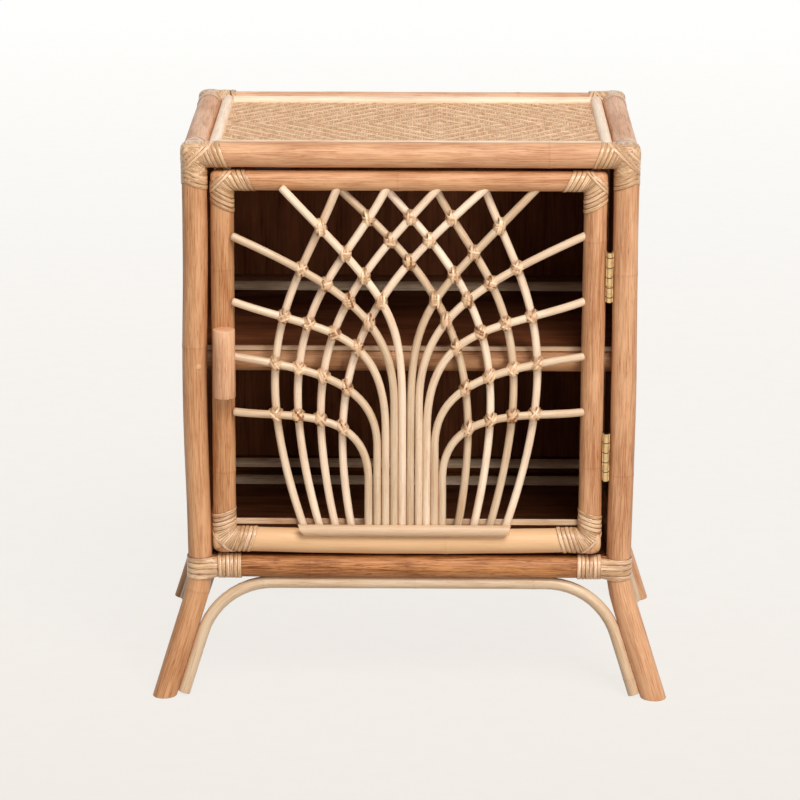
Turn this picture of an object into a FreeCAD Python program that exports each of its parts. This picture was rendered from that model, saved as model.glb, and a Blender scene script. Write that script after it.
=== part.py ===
import FreeCAD, Part
import math
import os
import Sketcher
from FreeCAD import Placement, Rotation, Vector

# Rattan storage side table: four bent corner poles on splayed feet carry a panelled cabinet
# with one shelf, closed by a framed door whose grille is a fan of thin bent canes.
# Millimetres. X runs to the right, Y to the back, Z up; the origin is on the floor, centred.

document = FreeCAD.newDocument("storage_side_table")

# Driving dimensions.
SIZES = {
    # cabinet frame
    "frame_height": 570,
    "body_width": 448,
    "body_depth": 287,
    "post_diameter": 25,
    "top_rail_diameter": 25,
    "base_rail_diameter": 23,
    "base_rail_height": 134.5,
    "knee_height": 116,
    "knee_radius": 120,
    "side_splay": 37,
    "front_splay": 19,
    "arch_diameter": 11.5,
    "arch_radius": 75,
    "arch_foot_lift": 3,
    # clearances
    "joint_clearance": 0.2,
    "seat_clearance": 0.3,
    # top
    "top_board_thickness": 8,
    "weave_drop": 8.5,
    "weave_thickness": 1.5,
    "border_width": 12,
    # cabinet panels and inner rails
    "panel_thickness": 5,
    "shelf_height": 354,
    "shelf_thickness": 4,
    "shelf_rail_diameter": 22,
    "shelf_rail_gap": 2,
    "cleat_width": 12,
    "edging_depth": 4,
    "edging_reach": 6,
    "back_rail_diameter": 20,
    "shelf_back_rise": 7,
    "floor_rail_lift": 2.5,
    "floor_height": 141.5,
    "floor_thickness": 7,
    "moulding_width": 8,
    # door frame
    "stile_diameter": 23,
    "door_top_diameter": 20,
    "door_bottom_diameter": 25,
    "latch_gap": 4,
    "hinge_gap": 6,
    "door_top_gap": 3.2,
    "door_bottom_gap": 3.2,
    # bindings of rattan peel
    "binding_thickness": 1.2,
    "binding_clearance": 0.1,
    "corner_binding_reach": 30,
    "door_binding_reach": 31,
    "base_binding_reach": 41,
    # grille
    "cane_diameter": 8,
    "bundle_pitch": 8.2,
    "layer_clearance": 0.15,
    "fan_centre": -4,
    "fan_lean": 5,
    "outer_cane_pitch": 16,
    "lashing_width": 3,
    "lashing_thickness": 1.1,
    # sill strips over the cane ends
    "sill_strip_width": 12,
    "sill_strip_length": 214,
    "sill_strip_mitre": 7,
    "sill_strip_rise": 7,
    "backing_strip_width": 6,
    "backing_strip_lift": 1.5,
    # handle
    "handle_diameter": 22,
    "handle_length": 71,
    "handle_height": 347,
    "handle_reach": 17.5,
    # butt hinges
    "hinge_length": 50,
    "upper_hinge_inset": 104.8,
    "lower_hinge_inset": 102.8,
    "knuckle_diameter": 5.6,
    "pin_diameter": 2.6,
    "pin_clearance": 0.05,
    "knuckle_clearance": 0.2,
    "pin_advance": 8.5,
    "leaf_thickness": 1.3,
    "leaf_recess": 0.65,
    "leaf_seat_width": 7.6,
    # magnetic catch
    "catch_width": 34,
    "catch_depth": 12,
    "catch_offset": 135,
    "strike_width": 26,
    "strike_drop": 9,
    "strike_thickness": 1.2,
    "catch_gap": 0.5,
}

# Places that follow from the sizes.
LAYOUT = {
    "post_x": "(Sizes.body_width - Sizes.post_diameter) / 2",
    "post_y": "(Sizes.body_depth - Sizes.post_diameter) / 2",
    "top_rail_z": "Sizes.frame_height - Sizes.top_rail_diameter / 2",
    "base_rail_top": "Sizes.base_rail_height + Sizes.base_rail_diameter / 2",
    "base_rail_bottom": "Sizes.base_rail_height - Sizes.base_rail_diameter / 2",
    "weave_top": "Sizes.frame_height - Sizes.weave_drop",
    "board_top": "weave_top - Sizes.weave_thickness",
    "opening_half_width": "post_x - Sizes.post_diameter / 2",
    "opening_half_depth": "post_y - Sizes.post_diameter / 2",
    "room_half_width": "post_x - Sizes.panel_thickness / 2 - Sizes.joint_clearance",
    "shelf_rail_y": "-post_y + Sizes.door_bottom_diameter / 2 + Sizes.shelf_rail_gap"
                    " + Sizes.shelf_rail_diameter / 2",
    "shelf_rail_z": "Sizes.shelf_height - Sizes.shelf_rail_diameter / 2 - Sizes.joint_clearance",
    "floor_back_rail_z": "base_rail_top + Sizes.back_rail_diameter / 2 + Sizes.floor_rail_lift",
    "shelf_back_rail_z": "Sizes.shelf_height + Sizes.shelf_back_rise",
    "back_face_y": "post_y - Sizes.back_rail_diameter / 2",
    "door_left": "-opening_half_width + Sizes.latch_gap",
    "door_right": "opening_half_width - Sizes.hinge_gap",
    "door_top": "Sizes.frame_height - Sizes.top_rail_diameter - Sizes.door_top_gap",
    "door_bottom": "base_rail_top + Sizes.door_bottom_gap",
    "left_stile_x": "door_left + Sizes.stile_diameter / 2",
    "right_stile_x": "door_right - Sizes.stile_diameter / 2",
    "door_top_z": "door_top - Sizes.door_top_diameter / 2",
    "door_bottom_z": "door_bottom + Sizes.door_bottom_diameter / 2",
    "sill_z": "door_bottom + Sizes.door_bottom_diameter",
    "layer_step": "Sizes.cane_diameter + Sizes.layer_clearance",
    "hinge_x": "(door_right + opening_half_width) / 2",
    "hinge_y": "-post_y - Sizes.pin_advance",
    "upper_hinge_z": "door_top - Sizes.upper_hinge_inset",
    "lower_hinge_z": "door_bottom + Sizes.lower_hinge_inset",
}


def fill(name, cells, formula):
    """A sheet with one aliased cell for each entry."""
    sheet = document.addObject("Spreadsheet::Sheet", name)
    for row, (alias, value) in enumerate(cells.items(), start=1):
        sheet.set(f"A{row}", alias)
        sheet.set(f"B{row}", f"={value}" if formula else str(value))
        sheet.setAlias(f"B{row}", alias)
    document.recompute()
    return sheet


sizes = fill("Sizes", SIZES, formula=False)
layout = fill("Layout", LAYOUT, formula=True)


def size(alias):
    return float(sizes.get(alias))


def place(alias):
    return float(layout.get(alias))


X_AXIS = Vector(1, 0, 0)
Y_AXIS = Vector(0, 1, 0)
Z_AXIS = Vector(0, 0, 1)
LEFT, RIGHT, FRONT, BACK = -1, 1, -1, 1
SIDES = {"left": LEFT, "right": RIGHT}
ENDS = {"front": FRONT, "back": BACK}
nodes = {}


# ---------------------------------------------------------------- document helpers

def drive(thing, formulas):
    """Bind properties of a document object to formulas on the sheets."""
    for name, formula in formulas.items():
        thing.setExpression(name, formula)


def drive_base(thing, base):
    drive(thing, {f"Placement.Base.{axis}": formula for axis, formula in zip("xyz", base)})


def rod(name, diameter, length, axis, base):
    """A round bar that starts at base and runs along axis."""
    bar = document.addObject("Part::Cylinder", name)
    bar.Placement = Placement(Vector(), Rotation(Z_AXIS, axis))
    drive(bar, {"Radius": f"({diameter}) / 2", "Height": length})
    drive_base(bar, base)
    return bar


def block(name, lengths, corner):
    """A rectangular block with one corner at corner."""
    box = document.addObject("Part::Box", name)
    drive(box, dict(zip(("Length", "Width", "Height"), lengths)))
    drive_base(box, corner)
    return box


def carve(name, base, tools):
    """The base with every tool cut out of it."""
    tool = tools[0]
    if len(tools) > 1:
        tool = document.addObject("Part::MultiFuse", f"{name}_tool")
        tool.Shapes = tools
    cut = document.addObject("Part::Cut", name)
    cut.Base = base
    cut.Tool = tool
    return cut


def keep(label, thing):
    """Name a finished sub-part."""
    thing.Label = label
    nodes[label] = thing
    return thing


def keep_group(label, things):
    """One sub-part that holds several separate solids."""
    group = document.addObject("Part::Compound", label)
    group.Links = things
    return keep(label, group)


def keep_shape(label, shape):
    """A sub-part whose shape is worked out by Part's own functions."""
    feature = document.addObject("Part::Feature", label)
    feature.Shape = shape
    return keep(label, feature)


# ---------------------------------------------------------------- PartDesign helpers

def new_body(name):
    return document.addObject("PartDesign::Body", name)


def new_sketch(body, role, name):
    """A sketch on one of the body's own origin planes."""
    sketch = body.newObject("Sketcher::SketchObject", name)
    plane = next(item for item in body.Origin.OriginFeatures if item.Role == role)
    sketch.AttachmentSupport = [(plane, "")]
    sketch.MapMode = "FlatFace"
    return sketch


def pin_point(sketch, geometry, point, across, up, label):
    """Hold one point of the sketch at formulas for its two coordinates."""
    drawn = sketch.getPoint(geometry, point)
    for kind, guess, formula in (("DistanceX", drawn.x, across), ("DistanceY", drawn.y, up)):
        spot = sketch.addConstraint(Sketcher.Constraint(kind, -1, 1, geometry, point, guess))
        sketch.renameConstraint(spot, f"{label}_{kind[-1]}")
        sketch.setExpression(f".Constraints.{label}_{kind[-1]}", formula)


def sketch_circle(sketch, diameter):
    """A circle about the sketch's origin."""
    circle = sketch.addGeometry(Part.Circle(Vector(), Z_AXIS, 1))
    sketch.addConstraint(Sketcher.Constraint("Coincident", circle, 3, -1, 1))
    spot = sketch.addConstraint(Sketcher.Constraint("Radius", circle, 1.0))
    sketch.renameConstraint(spot, "radius")
    sketch.setExpression(".Constraints.radius", f"({diameter}) / 2")


def sketch_outline(sketch, corners, start):
    """A closed outline of straight sides. Corners are formula pairs, start their first guess."""
    count = len(corners)
    for index in range(count):
        begin, end = start[index], start[(index + 1) % count]
        sketch.addGeometry(Part.LineSegment(Vector(*begin, 0), Vector(*end, 0)))
    for index in range(count):
        after = (index + 1) % count
        sketch.addConstraint(Sketcher.Constraint("Coincident", index, 2, after, 1))
    for index, (across, up) in enumerate(corners):
        pin_point(sketch, index, 1, across, up, f"corner{index}")


def pad(body, sketch, length, midplane=False):
    feature = body.newObject("PartDesign::Pad", f"{body.Name}_pad")
    feature.Profile = sketch
    feature.Midplane = midplane
    feature.setExpression("Length", length)
    return feature


def pocket(body, sketch):
    """Cut everything on the far side of the sketch."""
    feature = body.newObject("PartDesign::Pocket", f"{body.Name}_pocket")
    feature.Profile = sketch
    feature.Type = "ThroughAll"
    return feature


def pipe(body, profile, path):
    feature = body.newObject("PartDesign::AdditivePipe", f"{body.Name}_pipe")
    feature.Profile = profile
    feature.Spine = path
    return feature


# ---------------------------------------------------------------- bent corner posts

SPLAY = "hypot(Sizes.side_splay; Sizes.front_splay)"


def bent_post(label, side, end):
    """One pole, upright to the knee and then leaning outwards to the floor.

    The body's XZ plane holds the bend; the body is turned so that X points the way the foot
    splays. The pole runs on below the floor and is sawn off level there.
    """
    splay = math.hypot(size("side_splay"), size("front_splay"))
    lean = math.atan2(splay, size("knee_height"))
    radius = size("knee_radius")
    reach = radius * math.tan(lean / 2)
    spare = size("post_diameter")
    knee = size("knee_height")
    top = size("frame_height")
    body = new_body(label)
    path = new_sketch(body, "XZ_Plane", f"{label}_path")
    upper_end = Vector(0, knee + reach, 0)
    lower_end = Vector(reach * math.sin(lean), knee - reach * math.cos(lean), 0)
    toe = Vector(math.tan(lean) * (knee + spare), -spare, 0)
    centre = Vector(radius, knee + reach, 0)
    shaft = path.addGeometry(Part.LineSegment(Vector(0, top, 0), upper_end))
    circle = Part.Circle(centre, Z_AXIS, radius)
    bend = path.addGeometry(Part.ArcOfCircle(circle, math.pi, math.pi + lean))
    leg = path.addGeometry(Part.LineSegment(lower_end, toe))
    path.addConstraint(Sketcher.Constraint("Tangent", shaft, 2, bend, 1))
    path.addConstraint(Sketcher.Constraint("Tangent", bend, 2, leg, 1))
    path.addConstraint(Sketcher.Constraint("Vertical", shaft))
    spot = path.addConstraint(Sketcher.Constraint("Radius", bend, radius))
    path.renameConstraint(spot, "radius")
    path.setExpression(".Constraints.radius", "Sizes.knee_radius")
    pin_point(path, shaft, 1, "0", "Sizes.frame_height", "head")
    bend_point = path.addGeometry(Part.Point(Vector(0, knee, 0)), True)
    pin_point(path, bend_point, 1, "0", "Sizes.knee_height", "knee")
    path.addConstraint(Sketcher.Constraint("PointOnObject", bend_point, 1, leg))
    toe_x = f"{SPLAY} / Sizes.knee_height * (Sizes.knee_height + Sizes.post_diameter)"
    pin_point(path, leg, 2, toe_x, "-Sizes.post_diameter", "toe")
    profile = new_sketch(body, "XY_Plane", f"{label}_profile")
    profile.AttachmentOffset = Placement(Vector(0, 0, top), Rotation())
    profile.setExpression("AttachmentOffset.Base.z", "Sizes.frame_height")
    sketch_circle(profile, "Sizes.post_diameter")
    pipe(body, profile, path)
    saw = new_sketch(body, "XY_Plane", f"{label}_saw")
    sketch_circle(saw, f"8 * {SPLAY}")
    pocket(body, saw)
    heading = math.degrees(math.atan2(end * size("front_splay"), side * size("side_splay")))
    body.Placement = Placement(Vector(), Rotation(Z_AXIS, heading))
    drive_base(body, (f"{side} * Layout.post_x", f"{end} * Layout.post_y", "0"))
    return keep(label, body)


for end_name, end in ENDS.items():
    for side_name, side in SIDES.items():
        bent_post(f"post_{end_name}_{side_name}", side, end)


def upright_cutter(side, end):
    """What a rail's end is coped with, so that it seats on the corner post."""
    name = f"cope_{'left' if side < 0 else 'right'}_{'front' if end < 0 else 'back'}"
    found = document.getObject(name)
    if found:
        return found
    diameter = "Sizes.post_diameter + 2 * Sizes.joint_clearance"
    base = (f"{side} * Layout.post_x", f"{end} * Layout.post_y", "Sizes.knee_height")
    return rod(name, diameter, "Sizes.frame_height", Z_AXIS, base)


# ---------------------------------------------------------------- cabinet rails

def cross_rail(label, diameter, height, end):
    """A rail from the left post to the right post, coped at both ends."""
    base = ("-Layout.post_x", f"{end} * Layout.post_y", height)
    bar = rod(f"{label}_pole", diameter, "2 * Layout.post_x", X_AXIS, base)
    cutters = [upright_cutter(LEFT, end), upright_cutter(RIGHT, end)]
    return keep(label, carve(f"{label}_coped", bar, cutters))


def side_rail(label, diameter, height, side, fronts):
    """A rail from a front post to a back post, coped to the posts and clear of the fronts."""
    base = (f"{side} * Layout.post_x", "-Layout.post_y", height)
    bar = rod(f"{label}_pole", diameter, "2 * Layout.post_y", Y_AXIS, base)
    cutters = [upright_cutter(side, FRONT), upright_cutter(side, BACK)] + fronts
    return keep(label, carve(f"{label}_coped", bar, cutters))


def rail_ring(level, diameter, height):
    """Four rails round the cabinet at one height."""
    for end_name, end in ENDS.items():
        cross_rail(f"{level}_rail_{end_name}", diameter, height, end)
    fronts = []
    for end_name, end in ENDS.items():
        base = ("-Layout.post_x", f"{end} * Layout.post_y", height)
        wide = f"{diameter} + 2 * Sizes.joint_clearance"
        fronts.append(rod(f"{level}_{end_name}_clear", wide, "2 * Layout.post_x", X_AXIS, base))
    for side_name, side in SIDES.items():
        side_rail(f"{level}_rail_{side_name}", diameter, height, side, fronts)


rail_ring("top", "Sizes.top_rail_diameter", "Layout.top_rail_z")
rail_ring("base", "Sizes.base_rail_diameter", "Sizes.base_rail_height")
cross_rail("floor_rail_back", "Sizes.back_rail_diameter", "Layout.floor_back_rail_z", BACK)
cross_rail("shelf_rail_back", "Sizes.back_rail_diameter", "Layout.shelf_back_rail_z", BACK)

shelf_rail_base = ("-Layout.room_half_width", "Layout.shelf_rail_y", "Layout.shelf_rail_z")
keep("shelf_rail_front", rod("shelf_rail", "Sizes.shelf_rail_diameter",
                             "2 * Layout.room_half_width", X_AXIS, shelf_rail_base))


# ---------------------------------------------------------------- arched canes under the rails

def leg_arch(label, half_span, splay, tilt, angle, base):
    """A cane that runs up one leg, bends under the rail and runs down the next leg.

    It is drawn in the XZ plane with the knee line at Z = 0, and tilted into the legs' plane.
    """
    knee = size("knee_height")
    radius = size("arch_radius")
    drop = math.hypot(knee, tilt)
    lean = math.atan2(splay, drop)
    hug = (size("post_diameter") + size("arch_diameter")) / 2 + size("seat_clearance")
    top = place("base_rail_bottom") - size("arch_diameter") / 2 - size("seat_clearance") - knee
    corner_x = half_span - hug / math.cos(lean) - top * math.tan(lean)
    spare = size("arch_diameter")
    toe_x = corner_x + (top + drop + spare) * math.tan(lean)
    corners = [Vector(side * corner_x, 0, top) for side in (LEFT, RIGHT)]
    toes = [Vector(side * toe_x, 0, -drop - spare) for side in (LEFT, RIGHT)]
    route = [toes[0]] + bend(toes[0], corners[0], corners[1], radius)
    route += bend(corners[0], corners[1], toes[1], radius) + [toes[1]]
    cane = bent_cane(route, size("arch_diameter"), ARCH_SIDES)
    turn = Rotation(Z_AXIS, angle) * Rotation(X_AXIS, -math.degrees(math.atan2(tilt, knee)))
    cane.Placement = Placement(base, turn)
    lowest = size("arch_foot_lift")
    reach = 2 * size("frame_height")
    floor = Part.makeBox(2 * reach, 2 * reach, reach, Vector(-reach, -reach, lowest - reach))
    return keep_shape(label, cane.cut(floor))


def bend(before, corner, after, radius):
    """Points along the arc that rounds a corner off, the tangent points among them."""
    back, ahead = (before - corner).normalize(), (after - corner).normalize()
    turn = math.pi - back.getAngle(ahead)
    reach = radius * math.tan(turn / 2)
    centre = corner + (back + ahead).normalize() * (radius / math.cos(turn / 2))
    start = corner + back * reach - centre
    axis = back.cross(ahead)
    points = []
    for step in range(BEND_CHORDS + 1):
        spin = Rotation(axis, -math.degrees(turn) * step / BEND_CHORDS)
        points.append(centre + spin.multVec(start))
    return points


def ring(centre, axis, diameter, sides):
    """A closed regular outline round a point. Its corners lie on the given diameter."""
    spin = Rotation(Z_AXIS, axis)
    corners = []
    for index in range(sides + 1):
        angle = 2 * math.pi * (index + 0.5) / sides
        spot = Vector(math.cos(angle), math.sin(angle), 0) * (diameter / 2)
        corners.append(centre + spin.multVec(spot))
    return Part.makePolygon(corners)


def bent_cane(route, diameter, sides):
    """A thin cane along short chords of its bends, mitred from chord to chord."""
    path = Part.makePolygon(route)
    section = ring(route[0], route[1] - route[0], diameter, sides)
    return path.makePipeShell([section], True, False, RIGHT_CORNERS)


ARCH_SIDES, CANE_SIDES, BINDING_SIDES = 8, 8, 8
BEND_CHORDS = 4
RIGHT_CORNERS = 1
post_x, post_y = place("post_x"), place("post_y")
knee_height = size("knee_height")
for end_name, end in ENDS.items():
    leg_arch(f"leg_arch_{end_name}", post_x, size("side_splay"), size("front_splay"),
             0 if end < 0 else 180, Vector(0, end * post_y, knee_height))
for side_name, side in SIDES.items():
    leg_arch(f"leg_arch_{side_name}", post_y, size("front_splay"), size("side_splay"),
             90 * side, Vector(side * post_x, 0, knee_height))


# ---------------------------------------------------------------- panels, floor, shelf and top

def panel(label, lengths, corner):
    return keep(label, block(label, lengths, corner))


PANEL = "Sizes.panel_thickness"
SEAT = "Sizes.seat_clearance"
side_panel_length = f"2 * Layout.opening_half_depth - 2 * {SEAT}"
panel_bottom = f"Layout.base_rail_top + {SEAT}"
panel_top = f"(Sizes.frame_height - Sizes.top_rail_diameter - {SEAT})"
for side_name, side in SIDES.items():
    panel(f"side_panel_{side_name}",
          (PANEL, side_panel_length, f"{panel_top} - ({panel_bottom})"),
          (f"{side} * Layout.post_x - {PANEL} / 2", f"-Layout.opening_half_depth + {SEAT}",
           panel_bottom))

BACK_RADIUS = "Sizes.back_rail_diameter / 2"
back_width = f"2 * Layout.opening_half_width - 2 * {SEAT}"
back_corner = (f"-Layout.opening_half_width + {SEAT}", f"Layout.post_y - {PANEL} / 2")
back_spans = {
    "lower": (f"Layout.floor_back_rail_z + {BACK_RADIUS} + {SEAT}",
              f"Layout.shelf_back_rail_z - {BACK_RADIUS} - {SEAT}"),
    "upper": (f"Layout.shelf_back_rail_z + {BACK_RADIUS} + {SEAT}", panel_top),
}
for span, (bottom, top) in back_spans.items():
    panel(f"back_panel_{span}", (back_width, PANEL, f"{top} - ({bottom})"),
          back_corner + (bottom,))

rail_face = "(Sizes.base_rail_diameter / 2 + Sizes.seat_clearance)"
panel("floor_board",
      (f"2 * (Layout.post_x - {rail_face})", f"2 * (Layout.post_y - {rail_face})",
       "Sizes.floor_thickness"),
      (f"-Layout.post_x + {rail_face}", f"-Layout.post_y + {rail_face}",
       "Sizes.floor_height - Sizes.floor_thickness"))

shelf_front = "Layout.shelf_rail_y - Sizes.edging_reach"
panel("shelf_edging", ("2 * Layout.room_half_width", "Sizes.edging_depth", "Sizes.shelf_thickness"),
      ("-Layout.room_half_width", shelf_front, "Sizes.shelf_height"))
shelf_start = f"{shelf_front} + Sizes.edging_depth + Sizes.joint_clearance"
shelf_back = f"Layout.opening_half_depth - {SEAT}"
panel("shelf_board",
      ("2 * Layout.room_half_width", f"{shelf_back} - ({shelf_start})", "Sizes.shelf_thickness"),
      ("-Layout.room_half_width", shelf_start, "Sizes.shelf_height"))

cleat_front = f"Layout.shelf_rail_y + Sizes.shelf_rail_diameter / 2 + {SEAT}"
cleat_corners = {"left": "-Layout.room_half_width",
                 "right": "Layout.room_half_width - Sizes.cleat_width"}
cleats = []
for side_name, across in cleat_corners.items():
    lengths = ("Sizes.cleat_width", f"{shelf_back} - ({cleat_front})", "Sizes.cleat_width")
    height = "Sizes.shelf_height - Sizes.joint_clearance - Sizes.cleat_width"
    cleats.append(block(f"cleat_{side_name}", lengths, (across, cleat_front, height)))
keep_group("shelf_cleats", cleats)

top_half_width = f"(Layout.opening_half_width - {SEAT})"
top_half_depth = f"(Layout.opening_half_depth - {SEAT})"
panel("top_board", (f"2 * {top_half_width}", f"2 * {top_half_depth}", "Sizes.top_board_thickness"),
      (f"-{top_half_width}", f"-{top_half_depth}",
       "Layout.board_top - Sizes.top_board_thickness"))
panel("woven_top", (f"2 * {top_half_width}", f"2 * {top_half_depth}", "Sizes.weave_thickness"),
      (f"-{top_half_width}", f"-{top_half_depth}", "Layout.board_top"))


# ---------------------------------------------------------------- half-round and quarter-round strips

def strip(name, radius, length, axis, first, sweep, base):
    """A bar that is a sector of a circle: it starts at direction first and turns by sweep."""
    bar = document.addObject("Part::Cylinder", name)
    bar.Angle = sweep
    bar.Placement = Placement(Vector(), Rotation(first, axis.cross(first), axis, "ZXY"))
    drive(bar, {"Radius": radius, "Height": length})
    drive_base(bar, base)
    return bar


HALF, QUARTER = 180, 90
BORDER_RADIUS = "Sizes.border_width / 2"
borders = []
for side_name, side in SIDES.items():
    base = (f"{side} * ({top_half_width} - {BORDER_RADIUS})", f"-{top_half_depth}",
            "Layout.weave_top")
    borders.append(strip(f"border_{side_name}", BORDER_RADIUS, f"2 * {top_half_depth}",
                         Y_AXIS, -X_AXIS, HALF, base))
border_half = f"({top_half_width} - Sizes.border_width - Sizes.joint_clearance)"
for end_name, end in ENDS.items():
    base = (f"-{border_half}", f"{end} * ({top_half_depth} - {BORDER_RADIUS})", "Layout.weave_top")
    borders.append(strip(f"border_{end_name}", BORDER_RADIUS, f"2 * {border_half}",
                         X_AXIS, Y_AXIS, HALF, base))
keep_group("top_border_canes", borders)

MOULDING = "Sizes.moulding_width"
moulding_back = f"Layout.back_face_y - {SEAT}"
inner_half = f"(Layout.opening_half_width - {SEAT})"
panel_foot = f"Layout.floor_back_rail_z + {MOULDING} / 4"
shelf_top = "Sizes.shelf_height + Sizes.shelf_thickness"
level_mouldings = {
    "floor_foot": (f"Layout.post_y - Sizes.base_rail_diameter / 2 - {SEAT}",
                   "Sizes.floor_height + Sizes.joint_clearance"),
    "panel_foot": (moulding_back, panel_foot),
    "shelf_foot": (moulding_back, f"{shelf_top} + Sizes.joint_clearance"),
}
mouldings = []
for name, (back, height) in level_mouldings.items():
    mouldings.append(strip(f"moulding_{name}", MOULDING, f"2 * {inner_half}", X_AXIS, Z_AXIS,
                           QUARTER, (f"-{inner_half}", back, height)))
upright_spans = {
    "lower": (f"{panel_foot} + {MOULDING} + {SEAT}",
              f"Sizes.shelf_height - Sizes.cleat_width - 2 * {SEAT}"),
    "upper": (f"{shelf_top} + {MOULDING} + {SEAT} + Sizes.joint_clearance",
              "Sizes.frame_height - Sizes.top_rail_diameter - 2 * Sizes.binding_thickness"),
}
first_directions = {"left": -Y_AXIS, "right": -X_AXIS}
for span, (bottom, top) in upright_spans.items():
    for side_name, side in SIDES.items():
        mouldings.append(strip(f"moulding_{span}_{side_name}", MOULDING, f"{top} - ({bottom})",
                               Z_AXIS, first_directions[side_name], QUARTER,
                               (f"{side} * {inner_half}", moulding_back, bottom)))
keep_group("back_mouldings", mouldings)


# ---------------------------------------------------------------- door frame

STILE_RADIUS = "Sizes.stile_diameter / 2"
stile_bars = {}
stile_cutters = []
for side_name, side in SIDES.items():
    across = f"Layout.{side_name}_stile_x"
    shaft = rod(f"stile_{side_name}", "Sizes.stile_diameter",
                "Layout.door_top - Layout.door_bottom", Z_AXIS,
                (across, "-Layout.post_y", "Layout.door_bottom"))
    stile_bars[side_name] = shaft
    stile_cutters.append(rod(f"cope_stile_{side_name}",
                             "Sizes.stile_diameter + 2 * Sizes.joint_clearance",
                             "Sizes.frame_height", Z_AXIS, (across, "-Layout.post_y", "0")))


def door_rail(label, diameter, height):
    """A door rail, coped between the stiles."""
    bar = rod(f"{label}_pole", diameter, "Layout.right_stile_x - Layout.left_stile_x", X_AXIS,
              ("Layout.left_stile_x", "-Layout.post_y", height))
    return keep(label, carve(f"{label}_coped", bar, stile_cutters))


door_rail("door_rail_top", "Sizes.door_top_diameter", "Layout.door_top_z")
door_rail("door_rail_bottom", "Sizes.door_bottom_diameter", "Layout.door_bottom_z")


# ---------------------------------------------------------------- handle

handle_low = "Sizes.handle_height - Sizes.handle_length / 2"
handle_y = "-Layout.post_y - Sizes.handle_reach"
handle_bar = rod("handle_pole", "Sizes.handle_diameter", "Sizes.handle_length", Z_AXIS,
                 ("Layout.left_stile_x", handle_y, handle_low))
keep("door_handle", carve("handle_seated", handle_bar, [stile_cutters[0]]))
keep("door_stile_left", stile_bars["left"])


# ---------------------------------------------------------------- hinges

hinge_x, hinge_y = place("hinge_x"), place("hinge_y")
hinge_heights = [place("upper_hinge_z"), place("lower_hinge_z")]
leaf_depth = size("leaf_thickness")
KNUCKLES, BARREL_SIDES = 3, 12


def cylinder(diameter, length, base, axis=Z_AXIS):
    return Part.makeCylinder(diameter / 2, length, base, axis)


def hinge_leaf(side, height, knuckles):
    """One leaf with its share of the knuckles. Side is where its pole stands from the pin."""
    pole_face = place("door_right") if side < 0 else place("opening_half_width")
    outer = pole_face + side * (size("leaf_recess") - size("pin_clearance"))
    inner = outer - side * leaf_depth
    near_x = min(outer, inner)
    barrel = size("knuckle_diameter") / 2
    plate_front = hinge_y + barrel + size("seat_clearance")
    plate_back = -post_y + size("leaf_seat_width") / 2
    length = size("hinge_length")
    low = height - length / 2
    leaf = Part.makeBox(leaf_depth, plate_back - plate_front, length,
                        Vector(near_x, plate_front, low))
    pitch = length / KNUCKLES
    gap = size("knuckle_clearance")
    for index in knuckles:
        start = low + index * pitch + gap / 2
        tab = Part.makeBox(leaf_depth, plate_front - hinge_y, pitch - gap,
                           Vector(near_x, hinge_y, start))
        roll = Part.Face(ring(Vector(hinge_x, hinge_y, start), Z_AXIS, 2 * barrel, BARREL_SIDES))
        roll = roll.extrude(Z_AXIS * (pitch - gap))
        leaf = leaf.fuse([tab, roll])
    bore = size("pin_diameter") + 2 * size("pin_clearance")
    bore = ring(Vector(hinge_x, hinge_y, low), Z_AXIS, bore / math.cos(math.pi / BARREL_SIDES),
                BARREL_SIDES)
    leaf = leaf.cut(Part.Face(bore).extrude(Z_AXIS * length))
    return leaf.removeSplitter()


frame_knuckles = range(0, KNUCKLES, 2)
door_knuckles = range(1, KNUCKLES, 2)
leaves = {"frame": (RIGHT, frame_knuckles), "door": (LEFT, door_knuckles)}
for owner, (side, knuckles) in leaves.items():
    plates = [hinge_leaf(side, height, knuckles) for height in hinge_heights]
    keep_shape(f"hinge_leaves_{owner}", Part.makeCompound(plates))
pins = [cylinder(size("pin_diameter"), size("hinge_length"),
                 Vector(hinge_x, hinge_y, height - size("hinge_length") / 2))
        for height in hinge_heights]
keep_shape("hinge_pins", Part.makeCompound(pins))


def hinge_flats(name, side):
    """The flats that a pole gets for its two leaves."""
    edge = "Layout.door_right" if side < 0 else "Layout.opening_half_width"
    face = f"{edge} + {side} * Sizes.leaf_recess"
    across = f"{face} - Sizes.leaf_recess * 2" if side > 0 else face
    tools = []
    for where in ("upper", "lower"):
        low = f"Layout.{where}_hinge_z - Sizes.hinge_length / 2 - Sizes.joint_clearance"
        tools.append(block(f"{name}_{where}_flat",
                           ("Sizes.leaf_recess * 2", "Sizes.post_diameter",
                            "Sizes.hinge_length + 2 * Sizes.joint_clearance"),
                           (across, "-Layout.post_y - Sizes.post_diameter / 2", low)))
    return tools


keep("door_stile_right", carve("stile_right_flats", stile_bars["right"],
                               hinge_flats("stile", LEFT)))
hinge_post = nodes["post_front_right"]
hinge_post.Label = "post_front_right_pole"
keep("post_front_right", carve("hinge_post_flats", hinge_post, hinge_flats("post", RIGHT)))


# ---------------------------------------------------------------- magnetic catch

strike_y = "-Layout.post_y + Sizes.door_top_diameter / 2 + Sizes.joint_clearance"
panel("catch_strike", ("Sizes.strike_width", "Sizes.strike_thickness", "Sizes.strike_drop"),
      ("-Sizes.catch_offset - Sizes.strike_width / 2", strike_y,
       "Layout.door_top_z - Sizes.strike_drop / 2"))
catch_low = "Layout.door_top_z - Sizes.strike_drop / 2"
catch_top = f"Layout.board_top - Sizes.top_board_thickness - {SEAT}"
panel("catch_magnet", ("Sizes.catch_width", "Sizes.catch_depth", f"{catch_top} - ({catch_low})"),
      ("-Sizes.catch_offset - Sizes.catch_width / 2",
       f"{strike_y} + Sizes.strike_thickness + Sizes.catch_gap", catch_low))


# ---------------------------------------------------------------- bindings of rattan peel

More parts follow.
